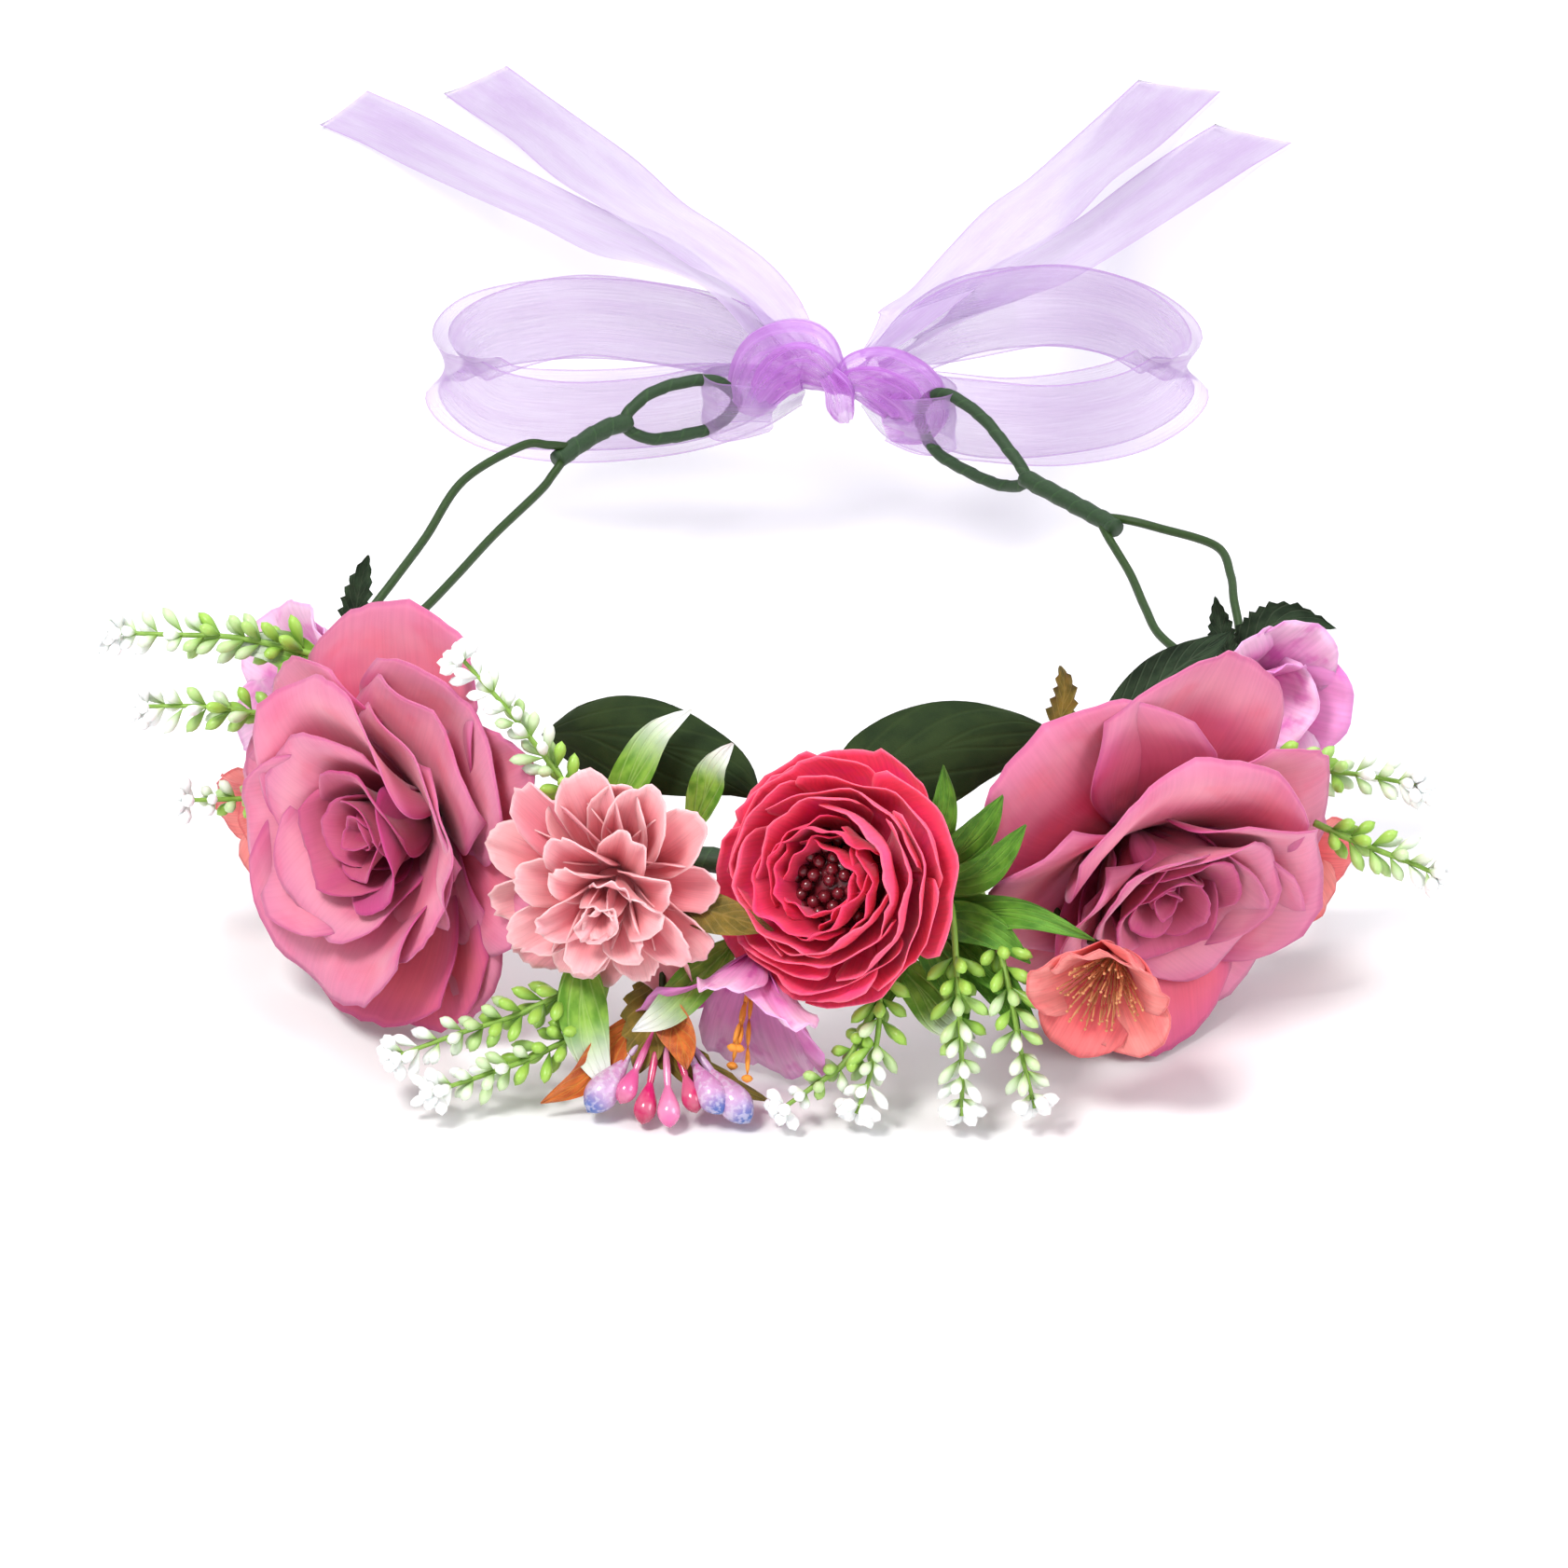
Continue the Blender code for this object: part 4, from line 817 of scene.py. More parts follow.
leaf_piece("white_tipped_bracts", PALE_LEAF, [], [
    ([(-40, -92, 52), (-36, -94, 62), (-30, -90, 72), (-22, -86, 77)], 9, FRONT, 0.3, 0, 0, 0.4, 14),
    ([(-22, -96, 52), (-19, -97, 62), (-17, -96, 68), (-13, -94, 73)], 8, FRONT, 0.3, 0, 0, 0.4, 15),
    ([(20, -112, 32), (28, -122, 27), (33, -127, 22), (40, -131, 20)],
     9, (0, -0.8, 0.6), 0.3, 0, 0, 0.5, 16),
    ([(-12, -112, 34), (-20, -118, 28), (-28, -124, 22), (-35, -128, 20)],
     9, (0, -0.8, 0.6), 0.3, 0, 0, 0.5, 17),
    ([(-46, -110, 30), (-46, -118, 22), (-44, -125, 14), (-40, -130, 6)],
     11, (0, -0.95, 0.3), 0.3, 0, 0, 0.5, 18),
    ([(-100, -50, 60), (-108, -49, 68), (-115, -48, 71), (-124, -47, 70)],
     9, (-0.2, -0.7, 0.7), 0.3, 0, 0, 0.4, 19),
    ([(94, -46, 66), (95, -50, 60), (97, -53, 54), (98, -56, 48)],
     4, (0.4, -0.9, 0.2), 0.3, 0, 0, 0.4, 20)])
leaf_piece("olive_leaves", OLIVE_LEAF, ["berry_pick_leaves"], [
    ([(-27, -113, 44), (-19, -120, 46), (-12, -124, 46), (-4, -127, 45)],
     9, (-0.1, -0.9, 0.4), 0.3, 0, 0, 0.5, 21),
    ([(28, -100, 58), (31, -104, 56), (34, -106, 52), (36, -108, 47)],
     7, (0.1, -0.8, 0.6), 0.3, 6, 0.15, 0.5, 22),
    ([(-34, -112, 20), (-28, -122, 14), (-20, -127, 9), (-5, -131, 4)], 9, LOW_FRONT, 0.2, 6, 0.15, 0.6, 23),
    ([(-30, -112, 24), (-31, -118, 20), (-32, -124, 15), (-34, -128, 9)], 12, LOW_FRONT, 0.2, 6, 0.15, 0.6, 24),
    ([(58, -66, 54), (59, -63, 61), (60, -60, 67), (59, -58, 72)],
     6, (0.1, -0.8, 0.6), 0.2, 7, 0.3, 0.6, 25)])
leaf_piece("orange_leaves", ORANGE_LEAF, [], [
    ([(-32, -116, 18), (-40, -124, 13), (-46, -129, 8), (-55, -132, 4)], 8, LOW_FRONT, 0.4, 0, 0, 1.2, 26),
    ([(-28, -118, 20), (-26, -124, 19), (-24, -128, 16), (-23, -131, 12)], 8, LOW_FRONT, 0.6, 0, 0, 1.0, 27)])


# The glitter drops of the berry pick: clear plastic drops on short wires, three of them sugared
# with fine beads and tipped blue. The wires are twisted together where the pick meets the band.
def drop_finish(name, low, high, tip, sugar):
    finish = Finish(name, 0.15 if not sugar else 0.45, coat=0.8)
    u, v = finish.map("petal")
    grain = finish.noise(finish.own_place(), 900.0 if sugar else 200.0, 2.0)
    base = finish.mix(finish.span(v, 0.1, 0.8), low, high)
    base = finish.mix(finish.span(v, 0.70, 0.98), base, tip)
    frost = finish.span(grain, 0.45, 0.65, 0.0, 0.5 if sugar else 0.15)
    finish.colour(finish.mix(frost, base, (0.85, 0.80, 0.90)))
    finish.bump(grain, 0.0004 if sugar else 0.0001, 0.8)
    finish.shader.inputs["Transmission Weight"].default_value = 0.25
    return finish.material


PICK_KNOT = Vector((-28, -118, 20)) * MM
RED_DROP = ((0.80, 0.02, 0.20), (0.74, 0.01, 0.14), (0.50, 0.0, 0.08), False)
PALE_DROP = ((0.88, 0.22, 0.48), (0.92, 0.32, 0.56), (0.86, 0.12, 0.40), False)
PINK_DROP = ((0.88, 0.10, 0.36), (0.88, 0.16, 0.42), (0.70, 0.04, 0.20), False)
MAUVE_SUGARED = ((0.72, 0.30, 0.56), (0.70, 0.44, 0.72), (0.02, 0.12, 0.50), True)
PINK_SUGARED = ((0.74, 0.20, 0.52), (0.72, 0.40, 0.70), (0.02, 0.12, 0.50), True)
pick = [((-32, -134, 4.6), 2.6, RED_DROP), ((-27, -136, 5.0), 2.6, PALE_DROP),
        ((-22, -134, 7.0), 2.4, RED_DROP),
        ((-36, -132, 8.0), 2.4, PINK_DROP), ((-41, -131, 7.0), 3.8, MAUVE_SUGARED),
        ((-18, -134, 8.0), 3.4, PINK_SUGARED), ((-13, -134, 6.0), 3.8, MAUVE_SUGARED)]
for k, (end, radius, colours) in enumerate(pick):
    shape = bmesh.new()
    end = Vector(end) * MM
    radius *= MM
    way = (end - PICK_KNOT).normalized()
    drop(shape, end - way * radius * 3.1, way, radius * 4.8, radius, 20, 16, 0.70)
    drop(shape, PICK_KNOT, way, (end - PICK_KNOT).length - radius * 0.6, 0.9 * MM, 10, 10, 0.7)
    new_piece(f"pick_drop_{k}", shape, drop_finish(f"pick drop {k}", *colours), "crown",
              [] if k else ["berry_pick_drops"])


# The sprigs: moulded plastic stems with crossed pairs of oval buds, green at the foot and white at
# the tip, each ending in a tiny open flower. Most run back to the band and are taped to it.
def sprig_finish():
    finish = Finish("sprig plastic", 0.42, coat=0.1, glow=0.15)
    u, v = finish.map("petal")
    tone, seed = finish.map("tone")
    speck = finish.noise(finish.own_place(), 300.0, 2.0)
    low = finish.mix(tone, (0.090, 0.250, 0.020), (0.420, 0.640, 0.130))
    high = finish.mix(finish.span(tone, 0.25, 0.75), (0.330, 0.560, 0.080), (0.880, 0.900, 0.880))
    base = finish.mix(finish.span(v, 0.05, 0.75), low, high)
    finish.colour(finish.mix(finish.span(tone, 0.70, 0.95), base, (0.900, 0.910, 0.900)))
    finish.bump(speck, 0.0002, 0.4)
    return finish.material


def stem_finish(name, dark, light):
    finish = Finish(name, 0.5)
    around, along = finish.map("weave")
    speck = finish.noise(finish.join(around, along), 6.0, 3.0)
    finish.colour(finish.mix(speck, dark, light))
    finish.bump(speck, 0.0001, 0.6)
    return finish.material


SPRIG_PLASTIC = sprig_finish()
SPRIG_STEM = stem_finish("lime sprig stem", (0.130, 0.290, 0.025), (0.330, 0.520, 0.090))
SPRIG_STEM_RADIUS = 0.85 * MM
FULL_BUDS = (4.6, 8.6, 1.45)
SMALL_BUDS = (5.0, 6.0, 1.4)


def sprig(name, node, body, route, clear, seed, buds=FULL_BUDS):
    """A stem along a route in millimetres. The clear stretch at its root has no buds; buds gives
    their spacing, length and radius in millimetres."""
    step, bud, radius = buds
    rng = random.Random(seed)
    line = made_route(route, 14)
    shape = bmesh.new()
    taper = [1.0 - 0.45 * i / len(line) for i in range(len(line))]
    wound_tube(shape, line, SPRIG_STEM_RADIUS, 8, taper=taper)
    new_piece(name + "_stem", shape, SPRIG_STEM, body)
    shape = bmesh.new()
    walked, due, turn = 0.0, clear * MM, rng.uniform(0, 180)
    total = sum((line[i + 1] - line[i]).length for i in range(len(line) - 1))
    for i in range(len(line) - 1):
        walked += (line[i + 1] - line[i]).length
        if walked < due:
            continue
        due += step * MM * rng.uniform(0.85, 1.15)
        ahead = (line[i + 1] - line[i]).normalized()
        side = ahead.orthogonal().normalized()
        other = ahead.cross(side)
        share = (walked - clear * MM) / (total - clear * MM)
        for part in range(4):
            out = spoke(side, other, math.radians(turn + 90 * part + rng.uniform(-22, 22)))
            way = (ahead * rng.uniform(0.7, 1.2) + out).normalized()
            size = bud * MM * (1.0 - 0.25 * share) * rng.uniform(0.75, 1.1)
            paleness = max(0.0, min(1.0, 0.05 + 0.85 * share + rng.uniform(-0.2, 0.2)))
            fatness = radius * MM * (1.0 - 0.15 * share)
            drop(shape, line[i] + out * 0.3 * MM, way, size, fatness, 8, 7, 0.66, paleness)
        turn += 47
    tip, ahead = line[-1], (line[-1] - line[-2]).normalized()
    side = ahead.orthogonal().normalized()
    other = ahead.cross(side)
    for k in range(9):
        opened = k < 5
        out = spoke(side, other, math.tau * k / 5 + (0.0 if opened else 0.6))
        way = (ahead * (0.25 if opened else 1.2) + out).normalized()
        drop(shape, tip - ahead * 2 * MM, way, (6.0 if opened else 5.2) * MM, 1.5 * MM, 8, 6, 0.68, 1.0)
    new_piece(name + "_buds", shape, SPRIG_PLASTIC, body, [node] if node else [])


sprig("sprig_top", "top_sprig", "crown",
      [(-38, -92, 46), (-44, -104, 60), (-51, -106, 72), (-62, -102, 86), (-73, -95, 96)], 16, 1)
sprig("sprig_left_high", "left_upper_sprig", "left_sprig",
      [(-102, -48, 68), (-112, -48, 71), (-124, -47, 73), (-137, -46, 73), (-150, -45, 73)], 6, 2)
sprig("sprig_left_middle", "left_middle_sprig", "crown",
      [(-92, -38, 47), (-104, -49, 54.5), (-115, -55, 58), (-130, -56, 60.5), (-144, -56, 60.5)], 26, 3)
sprig("sprig_left_low", "left_lower_sprig", "crown",
      [(-90, -42, 46), (-108, -56, 42), (-119, -62, 41), (-127, -65, 42), (-135, -67, 43)], 30, 4, SMALL_BUDS)
sprig("sprig_right_high", "right_upper_sprig", "crown",
      [(90, -42, 46), (102, -52, 48), (112, -59, 47), (126, -63, 47), (139, -66, 46)], 22, 5)
sprig("sprig_right_low", "right_lower_sprig", "right_sprig",
      [(115, -70, 39), (122, -73, 37), (130, -76, 35), (137, -78, 33), (143, -80, 31)], 4, 6)
sprig("sprig_hanging_left", "hanging_left_sprig", "crown",
      [(33, -96, 44), (35, -115, 42), (36, -127, 32), (37, -135, 16), (37, -139, 5)], 30, 7)
sprig("sprig_hanging_right", "hanging_right_sprig", "crown",
      [(38, -94, 44), (43, -114, 42), (47, -127, 32), (50, -134, 18), (53, -139, 7)], 30, 8)
sprig("sprig_low_middle", "low_centre_sprig", "crown",
      [(12, -101, 43), (18, -118, 33), (19, -126, 22), (17, -133, 12), (14, -138, 5)], 26, 9)
sprig("sprig_low_left", "low_left_sprig", "crown",
      [(-42, -92, 43), (-46, -112, 26), (-58, -119, 20), (-73, -124, 17), (-88, -128, 13)], 34, 10)
sprig("sprig_low_outer", "low_outer_sprig", "crown",
      [(-38, -93, 43), (-42, -114, 18), (-54, -123, 12), (-66, -129, 10), (-79, -134, 8)], 40, 11)
sprig("sprig_low_branch", None, "crown",
      [(18, -124, 24), (12, -130, 14), (4, -134, 9), (-3, -137, 5)], 6, 12, SMALL_BUDS)


# The short stem wires: painted green florist's wire that holds the pick, and the leaves and blossoms
# that stand off the band. Each is bent in to the band and caught under its tape.
ARM_WIRE = stem_finish("painted green wire", (0.007, 0.030, 0.001), (0.024, 0.066, 0.003))
STEM_WIRE_RADIUS = 0.9 * MM


def foot_of(place):
    """A blossom's foot, in millimetres as the routes are."""
    return place.translation / MM


shape = bmesh.new()
for route in (
        [(-7, -92, 58), (-5, -95, 54), (-4, -99, 47)],
        [(6, -92, 57), (5, -95, 54), (5, -99, 47)],
        [(58, -66, 54), (62, -70, 51), (66, -75, 46)],
        [(68, -52, 52), (74, -56, 50), (80, -60, 46)],
        [(-97, -20, 52), (-97, -20, 49), (-97.6, -20, 46)],
        [(-28, -118, 20), (-29, -108, 33), (-30, -95.5, 44)],
        [foot_of(coral_place), (60, -101, 31), (51, -86, 42)],
        [foot_of(lily_place), (-6, -108, 39), (-4, -99, 45)],
        [foot_of(left_coral_place), (-101, -36, 36), (-94, -33, 45)],
        [foot_of(right_coral_place), (98, -50, 34), (88, -46, 45)],
        [foot_of(dahlia_place), (-34, -104, 45), (-33.4, -94.3, 46)]):
    wound_tube(shape, made_route(route, 8), STEM_WIRE_RADIUS, 8)
new_piece("stem_wires", shape, ARM_WIRE, "crown")


# The two open arms that carry the bow: pairs of thin green wires from the band ends, taped at their
# far ends into loops for the ribbon. They bend up and down about the band's ends.
ARM_WIRE_RADIUS = 1.0 * MM
LOOP_EYE_RADIUS = 1.4 * MM
LOOP_TAIL_RADIUS = 2.1 * MM


def arm(name, node, radius, route, closed=False):
    """A bare wire of an arm, or a thicker stretch that is wound with tape."""
    taped = radius > ARM_WIRE_RADIUS
    material, ridge = (TAPE, TAPE_RIDGE) if taped else (ARM_WIRE, 0.0)
    shape = bmesh.new()
    line = made_route(route, 10, closed)
    wound_tube(shape, line, radius, 12, ridge, closed=closed)
    new_piece(name, shape, material, "tie_back", [node] if node else [])


arm("left_upper_arm", "left_arm_upper_wire", ARM_WIRE_RADIUS,
    [(-98.4, -18, 46.9), (-99, -13, 47.9), (-95.5, -5, 53), (-89, 8, 56), (-82, 28, 56), (-74, 52, 57),
     (-61, 70, 56), (-55, 75.5, 53.2), (-51, 79.5, 50.6)])
arm("left_lower_arm", "left_arm_lower_wire", ARM_WIRE_RADIUS,
    [(-98.2, -18, 45.3), (-97.4, -13, 44.4), (-90, -4, 47.5), (-82, 8, 49), (-75, 25, 48), (-67, 45, 47),
     (-57, 65, 47), (-54, 72, 47.5), (-51, 78, 49)])
arm("left_loop_eye", "left_tie_loop", LOOP_EYE_RADIUS,
    [(-38, 92, 50), (-33, 96, 54.5), (-25, 99.5, 56), (-17, 101.5, 55.2), (-12.5, 102, 50), (-17, 100, 44.8),
     (-25, 96.5, 44), (-33, 92.5, 45.5)], closed=True)
arm("left_loop_tail", None, LOOP_TAIL_RADIUS, [(-53, 76, 49), (-49, 81, 49.6), (-43, 88, 50), (-37, 92.5, 50)])
arm("right_outer_arm", "right_arm_outer_wire", ARM_WIRE_RADIUS,
    [(98.4, -18, 46.9), (99, -13, 47.9), (99.5, -5, 51), (98.5, 6, 52.5), (98, 18, 52), (95, 32, 51.5),
     (82, 44, 49.5), (75, 48.5, 49), (70, 51.5, 48)])
arm("right_inner_arm", "right_arm_inner_wire", ARM_WIRE_RADIUS,
    [(98.2, -18, 45.3), (97.4, -13, 44.4), (89, -7, 44.5), (82, 4, 44.5), (79, 16, 44.5), (76, 30, 45),
     (73, 40, 45.5), (71.3, 45, 46), (69.5, 50.5, 47)])
arm("right_loop_eye", "right_tie_loop", LOOP_EYE_RADIUS,
    [(53, 70, 47.5), (48, 78, 52), (42, 87, 55), (34, 94.5, 56), (29, 97, 50), (32, 91, 43.8), (40, 82, 42.6),
     (48, 74, 43.5)], closed=True)
arm("right_loop_tail", None, LOOP_TAIL_RADIUS,
    [(73, 47, 47.5), (70, 51, 47.5), (62, 60, 47.5), (52.5, 70.5, 47.5)])


# The ribbon: sheer lilac organza, 20 mm wide with woven edges, threaded through both loops and tied
# in a bow with four tails. Where two layers lie together the colour deepens.
def organza_finish(name, tint, deep, cover):
    """Sheer plain weave: single threads crossing, seen through between them."""
    finish = Finish(name, 0.45, sheen=0.5)
    u, v = finish.map("petal")
    side = finish.from_middle(u)
    edge = finish.span(side, 0.93, 0.985)
    wave = finish.noise(finish.join(finish.times(u, 5.0), finish.times(v, 2.0)), 1.0, 2.0)
    weft = finish.noise(finish.join(finish.times(u, 90.0), finish.times(v, 8.0)), 1.0, 1.0)
    finish.colour(finish.mix(edge, finish.mix(finish.span(wave, 0.3, 0.7), tint, deep), deep))
    weight = finish.tree.nodes.new("ShaderNodeLayerWeight")
    weight.inputs["Blend"].default_value = 0.45
    thick = finish.plus(finish.times(weight.outputs["Facing"], 0.55), cover, True)
    thick = finish.plus(thick, finish.times(edge, 0.25), True)
    thick = finish.plus(thick, finish.times(finish.math("SUBTRACT", weft, 0.5), 0.25), True)
    finish.put(finish.shader.inputs["Alpha"], thick)
    finish.bump(weft, 0.0001, 0.5)
    return finish.material


ORGANZA = organza_finish("lilac organza", (0.50, 0.36, 0.62), (0.42, 0.22, 0.56), 0.30)
FOLDED_ORGANZA = organza_finish("gathered lilac organza", (0.62, 0.24, 0.78), (0.48, 0.09, 0.60), 0.30)
WEAVE_REPEAT = 100 * MM


def ribbon(shape, route, width, sides, pleats, pleat, seed, across, pinch, cut=0.0, fade=0.25, steps=12):
    """A strip along a route in millimetres; sides gives the way its width points at each stop. It
    is gathered to the pinch shares of its width over the fade at its two ends. Returns its length."""
    line = made_route(route, steps)
    ways = smooth_route(sides, steps)
    length = sum((line[i + 1] - line[i]).length for i in range(len(line) - 1))
    rows = []
    for i, point in enumerate(line):
        v = i / (len(line) - 1)
        ahead = (line[min(i + 1, len(line) - 1)] - line[max(i - 1, 0)]).normalized()
        side = ways[i] - ahead * ways[i].dot(ahead)
        side.normalize()
        up = side.cross(ahead)
        narrow = 1.0
        if v < fade:
            narrow = pinch[0] + (1 - pinch[0]) * math.sin(math.pi / 2 * v / fade)
        elif v > 1 - fade:
            narrow = pinch[1] + (1 - pinch[1]) * math.sin(math.pi / 2 * (1 - v) / fade)
        row = []
        for k in range(across + 1):
            u = 2 * k / across - 1
            depth = ((1 - narrow) * 0.16 + pleat) * width * (1.25 - narrow)
            wave = up * depth * math.sin(u * math.pi * pleats + seed + 1.5 * v)
            slant = ahead * cut * u * width if i == len(line) - 1 else Vector()
            row.append(shape.verts.new(point + side * (u * width / 2 * narrow) + wave + slant))
        rows.append(row)
    skin_rows(shape, rows, repeats=length / WEAVE_REPEAT)
    return length


RIBBON_WIDTH = 20 * MM
left_loop = [(2, 108, 50), (-12, 112, 45), (-30, 111, 41), (-52, 110, 40), (-70, 112, 43), (-79, 117.5, 50),
             (-71, 125, 55), (-50, 128, 57), (-26, 126, 56), (-8, 118, 55), (4, 108, 53)]
right_loop = [(18, 108, 48), (28, 111, 42), (44, 112, 39), (62, 112, 38), (80, 113, 42), (90, 118, 50),
              (80, 126, 56), (62, 130, 59), (42, 127, 59), (28, 118, 57), (16, 108, 53)]
leans = [(0, 0.12, 1)] * len(left_loop)
for side, route in (("left", left_loop), ("right", right_loop)):
    shape = bmesh.new()
    length = ribbon(shape, route, RIBBON_WIDTH, leans, 2, 0.02, 1.0, 14, (0.35, 0.35), fade=0.16)
    middle = sum(point[0] for point in route) / len(route)
    inner = [(middle + (x - middle) * 0.90, 117 + (y - 117) * 0.74, z + 1.5 + 1.2 * math.sin(x / 9))
             for x, y, z in route]
    length += ribbon(shape, inner, RIBBON_WIDTH, leans, 2, 0.03, 2.2, 14, (0.35, 0.35), fade=0.20)
    piece = new_piece(side + "_bow_loop_cloth", shape, ORGANZA, "tie_back",
                      [side + "_bow_loop"])


# The four ribbon tails: the same organza, cut at a slant. They leave the knot a little rolled, fall
# to the table in a long curve and lie flat at their ends.
def tail_sides(route, tip):
    """Level across the run, rolled a little where the ribbon leaves the knot."""
    sides = []
    for i in range(len(route)):
        a, b = Vector(route[max(i - 1, 0)]), Vector(route[min(i + 1, len(route) - 1)])
        level = Vector((b.y - a.y, a.x - b.x, 0)).normalized()
        roll = tip * max(0.0, 1 - i / 3.5) + (0.10 * math.sin(2.1 * i + 5 * tip) if i < 6 else 0.0)
        sides.append(level + Vector((0, 0, roll)))
    return sides


tails = (
    ("left_outer_tail", -0.9,
     [(-2, 110, 57), (-12, 120, 65), (-23, 143, 60), (-36, 178, 48), (-50, 219, 33), (-66, 262, 18),
      (-81, 299, 6), (-94, 322, 1.2), (-106, 334, 0.7)]),
    ("left_inner_tail", -0.6,
     [(4, 110, 58), (-5, 119, 67), (-14, 144, 62), (-24, 181, 50), (-35, 225, 34), (-46, 270, 19),
      (-57, 310, 7), (-67, 335, 1.2), (-75, 348, 0.7)]),
    ("right_inner_tail", 0.6,
     [(16, 110, 57), (27, 116, 65), (36, 139, 60), (45, 176, 48), (55, 221, 33), (65, 266, 18),
      (76, 306, 6), (85, 331, 1.2), (92, 345, 0.7)]),
    ("right_outer_tail", 0.9,
     [(20, 109, 55), (33, 113, 62), (43, 132, 57), (53, 167, 46), (65, 208, 31), (77, 250, 16),
      (89, 287, 5), (100, 309, 1.2), (109, 321, 0.7)]))
for name, tip, route in tails:
    shape = bmesh.new()
    length = ribbon(shape, route, RIBBON_WIDTH, tail_sides(route, tip), 1.5, 0.010, 2.0, 12, (0.55, 1.0),
                    0.12, 0.14)
    piece = new_piece(name + "_cloth", shape, ORGANZA, "tie_back", [name])


# The knot: the ribbon gathered into two puffed, pleated bundles that meet at a tight crossing. A
# narrow wrap of the same ribbon runs from each bundle through its taped loop and back.
def puff(shape, route, radii, pleats, deep, seed, sides=44, steps=9):
    """A bundle of folds along a route, with its radius in millimetres at each stop."""
    uv, tint = cloth_marks(shape)
    line = made_route(route, steps)
    sizes = smooth_route([(radius, 0, 0) for radius in radii], steps)
    rings, side = [], None
    for i, point in enumerate(line):
        ahead = (line[min(i + 1, len(line) - 1)] - line[max(i - 1, 0)]).normalized()
        side = ahead.orthogonal() if side is None else side - ahead * side.dot(ahead)
        side.normalize()
        other = ahead.cross(side)
        share = i / (len(line) - 1)
        ring = []
        for k in range(sides):
            angle = math.tau * k / sides
            fold = math.sin(pleats * angle + seed + 2.6 * share)
            fold += 0.5 * math.sin((pleats + 3) * angle - 1.7 * seed - 3 * share)
            reach = sizes[i].x * MM * (1 + deep * fold)
            ring.append(shape.verts.new(point + spoke(side, other, angle) * reach))
        rings.append(ring)
    for i in range(len(rings) - 1):
        for k in range(sides):
            m = (k + 1) % sides
            face = shape.faces.new((rings[i][k], rings[i][m], rings[i + 1][m], rings[i + 1][k]))
            for loop, (a, b) in zip(face.loops, ((k, i), (k + 1, i), (k + 1, i + 1), (k, i + 1))):
                loop[uv].uv = (0.06 + 0.88 * a / sides, 0.5 * b / len(rings))


shape = bmesh.new()
puff(shape, [(-10, 103, 47), (-8, 104, 53), (-4, 105, 58.5), (3, 105, 60.5), (8, 104, 56.5), (11, 104, 52)],
     [3.6, 6.6, 8.2, 7.4, 4.6, 2.2], 11, 0.06, 0.3)
puff(shape, [(-7, 103, 49), (-3, 104, 55), (2, 105, 57.5), (7, 104, 56), (11, 104, 52)],
     [3.0, 4.6, 5.0, 4.0, 1.8], 8, 0.12, 2.3)
puff(shape, [(10, 103, 53.5), (15, 103, 56.5), (21, 102, 56), (27, 100, 52.5), (28, 99, 48), (22, 100, 45)],
     [2.2, 4.8, 6.8, 7.4, 6.6, 4.2], 11, 0.06, 1.9)
puff(shape, [(10, 103, 53.5), (15, 102, 54.5), (20, 101, 53.5), (25, 100, 50.5), (23, 100, 47.5)],
     [1.8, 3.4, 4.6, 4.8, 3.0], 8, 0.12, 0.2)
puff(shape, [(8, 99, 58.5), (10.5, 98, 55), (11, 98, 51), (12, 99.5, 47)], [2.2, 3.0, 3.0, 1.8], 7, 0.12, 0.9)
knot = new_piece("bow_knot_cloth", shape, FOLDED_ORGANZA, "tie_back", ["bow_knot"])
WRAP_WIDTH = 15 * MM
for side, route in (
        ("left", [(-4, 105, 48), (-11, 106.5, 49), (-17, 105.5, 49.5), (-20.4, 101, 50), (-17, 96.4, 50),
                  (-11, 96.8, 49.5), (-4, 100, 48)]),
        ("right", [(20, 104, 48), (27.5, 104.6, 49), (34, 99.8, 50), (37.2, 94, 50), (34, 90.4, 50),
                   (28, 91.6, 49), (21, 97, 48)])):
    shape = bmesh.new()
    upright = [(0, 0, 1)] * len(route)
    length = ribbon(shape, route, WRAP_WIDTH, upright, 2, 0.06, 0.8, 14, (0.7, 0.7), fade=0.3, steps=10)
    piece = new_piece(side + "_wrap_cloth", shape, ORGANZA, "tie_back",
                      [side + "_ribbon_wrap"])


# The calyxes: moulded green plastic cups that hold the petals of the roses and the ranunculus. They
# are hidden behind the flowers, so their plain solids are kept as they are.
def calyx_finish():
    finish = Finish("calyx plastic", 0.55, sheen=0.1)
    speck = finish.noise(finish.own_place(), 220.0, 3.0)
    finish.colour(finish.mix(speck, (0.040, 0.130, 0.016), (0.110, 0.260, 0.040)))
    finish.bump(speck, 0.0003, 0.6)
    return finish.material


CALYX = calyx_finish()
for node in ("left_rose_calyx", "right_rose_calyx", "ranunculus_calyx"):
    solid = bpy.data.objects[node]
    solid.data.materials.clear()
    solid.data.materials.append(CALYX)
    solid.data.shade_smooth()


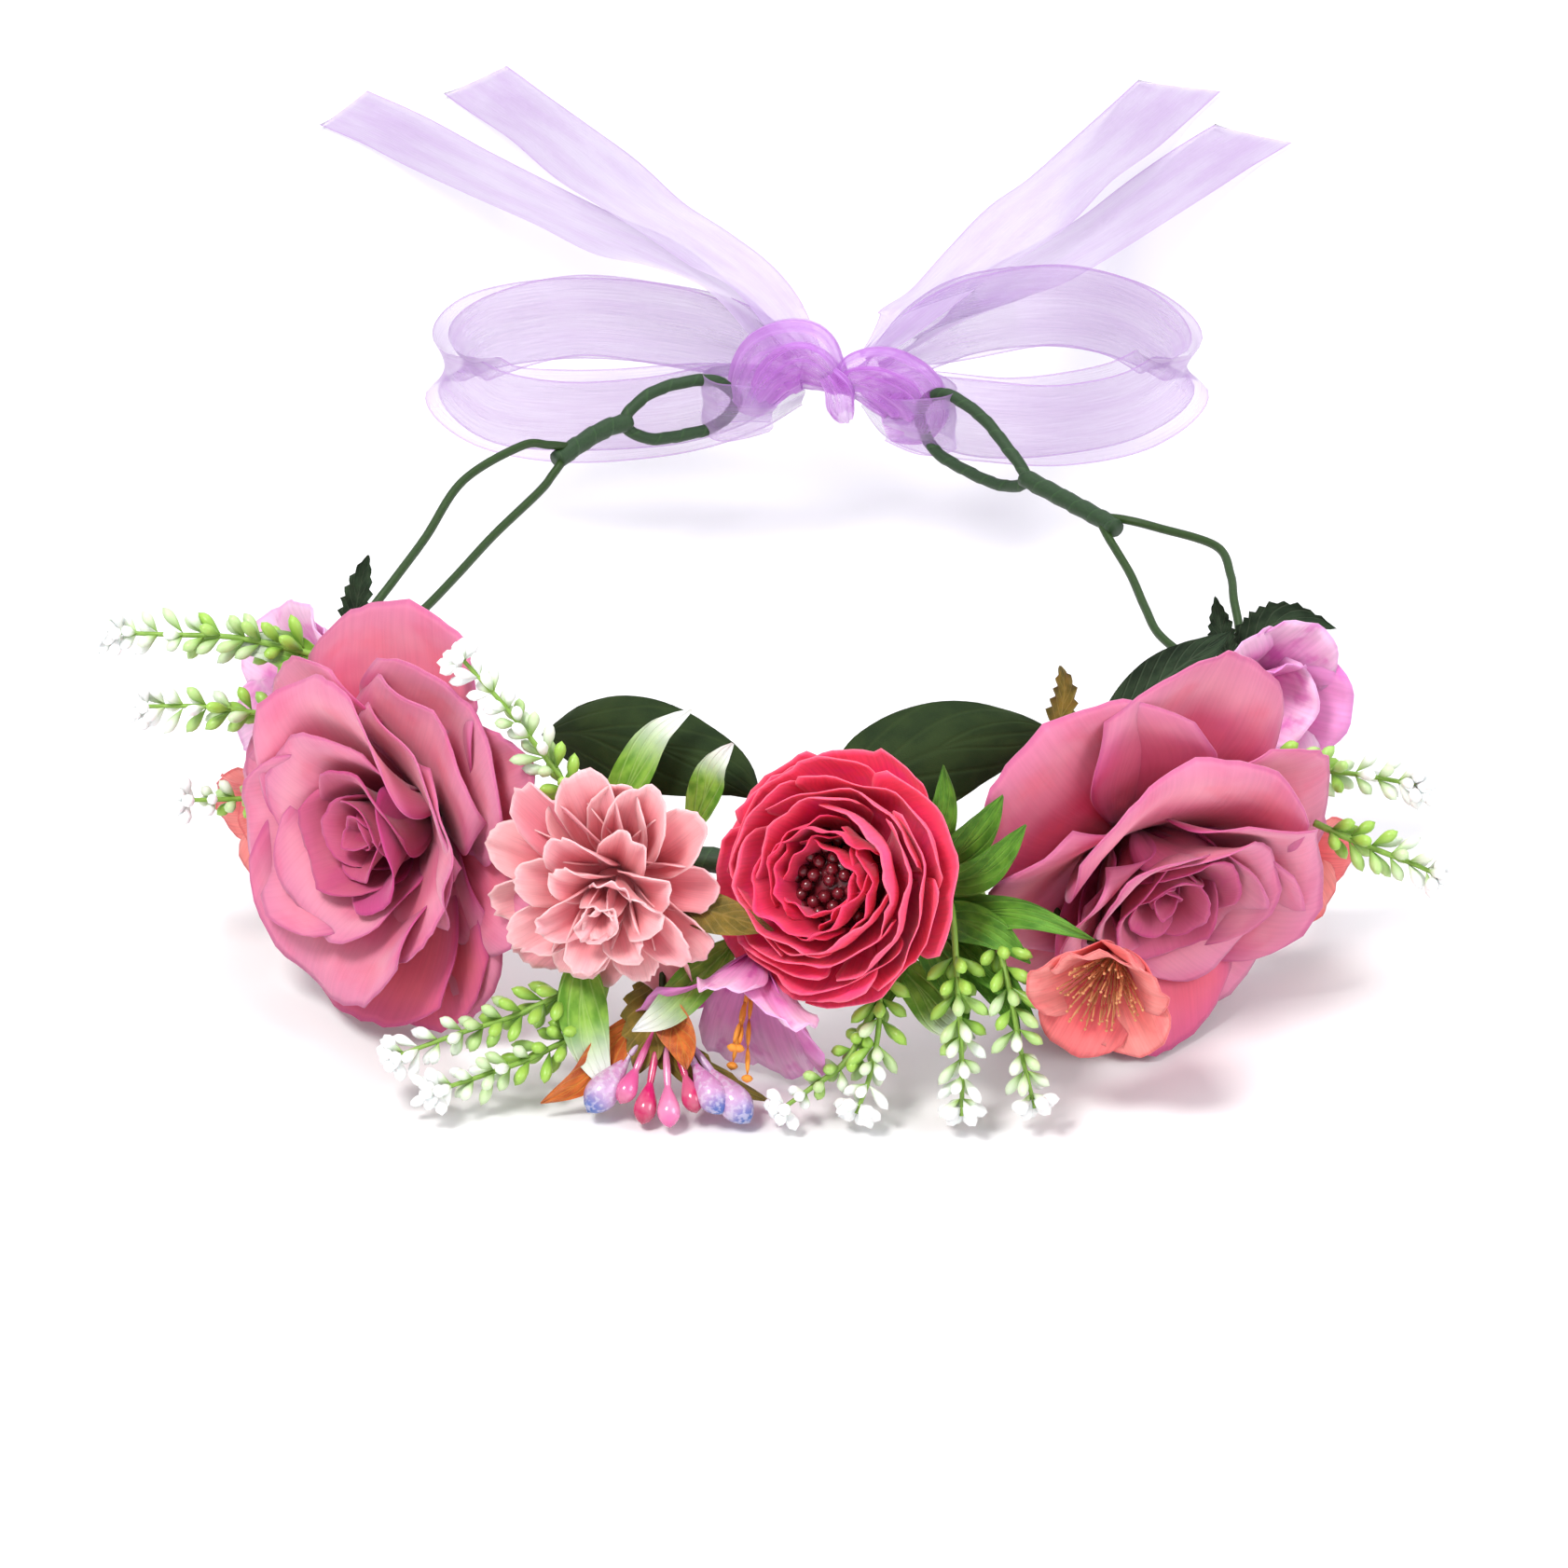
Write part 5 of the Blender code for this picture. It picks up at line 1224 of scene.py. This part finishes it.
# A pale table top, made of white laminate with a faint grain. Soft light falls from above and from
# both sides, and the camera looks down from the front through a long lens.
def floor_finish():
    finish = Finish("white table", 0.7)
    speck = finish.noise(finish.own_place(), 3.0, 2.0)
    finish.colour(finish.mix(speck, (0.86, 0.86, 0.86), (0.90, 0.90, 0.90)))
    return finish.material


shape = bmesh.new()
bmesh.ops.create_grid(shape, x_segments=2, y_segments=2, size=3.0)
mesh = bpy.data.meshes.new("table_top")
shape.to_mesh(mesh)
shape.free()
table = bpy.data.objects.new("table_top", mesh)
mesh.materials.append(floor_finish())
table.location.z = -0.6 * MM
bpy.context.scene.collection.objects.link(table)


def lamp(name, place, target, size, power, tint=(1.0, 1.0, 1.0)):
    light = bpy.data.lights.new(name, "AREA")
    light.shape = "DISK"
    light.size = size
    light.energy = power
    light.color = tint
    holder = bpy.data.objects.new(name, light)
    bpy.context.scene.collection.objects.link(holder)
    holder.location = place
    holder.rotation_euler = (Vector(target) - Vector(place)).to_track_quat("-Z", "Y").to_euler()


lamp("key", (-0.6, -0.8, 1.4), (0, 0, 0.03), 0.5, 21.0, (1.0, 0.98, 0.96))
lamp("fill", (1.1, -0.7, 0.8), (0, 0, 0.03), 0.9, 9.0, (0.97, 0.98, 1.0))
lamp("top", (0.1, 0.5, 1.5), (0, 0.05, 0), 1.0, 10.0)
world = bpy.data.worlds.new("studio")
bpy.context.scene.world = world
world.use_nodes = True
world.node_tree.nodes["Background"].inputs["Color"].default_value = (0.92, 0.94, 1.0, 1.0)
world.node_tree.nodes["Background"].inputs["Strength"].default_value = 0.62

CAMERA_AIM = Vector((-0.0018, -0.072, 0.050))
CAMERA_TILT = math.radians(30)
CAMERA_DISTANCE = 4.79
camera = bpy.data.cameras.new("camera")
camera.sensor_width = 36
camera.lens = 500
camera.clip_end = 20
eye = bpy.data.objects.new("camera", camera)
bpy.context.scene.collection.objects.link(eye)
eye.location = CAMERA_AIM + Vector((0, -math.cos(CAMERA_TILT), math.sin(CAMERA_TILT))) * CAMERA_DISTANCE
eye.rotation_euler = (math.pi / 2 - CAMERA_TILT, 0, 0)
bpy.context.scene.camera = eye
bpy.context.scene.view_settings.view_transform = "Standard"
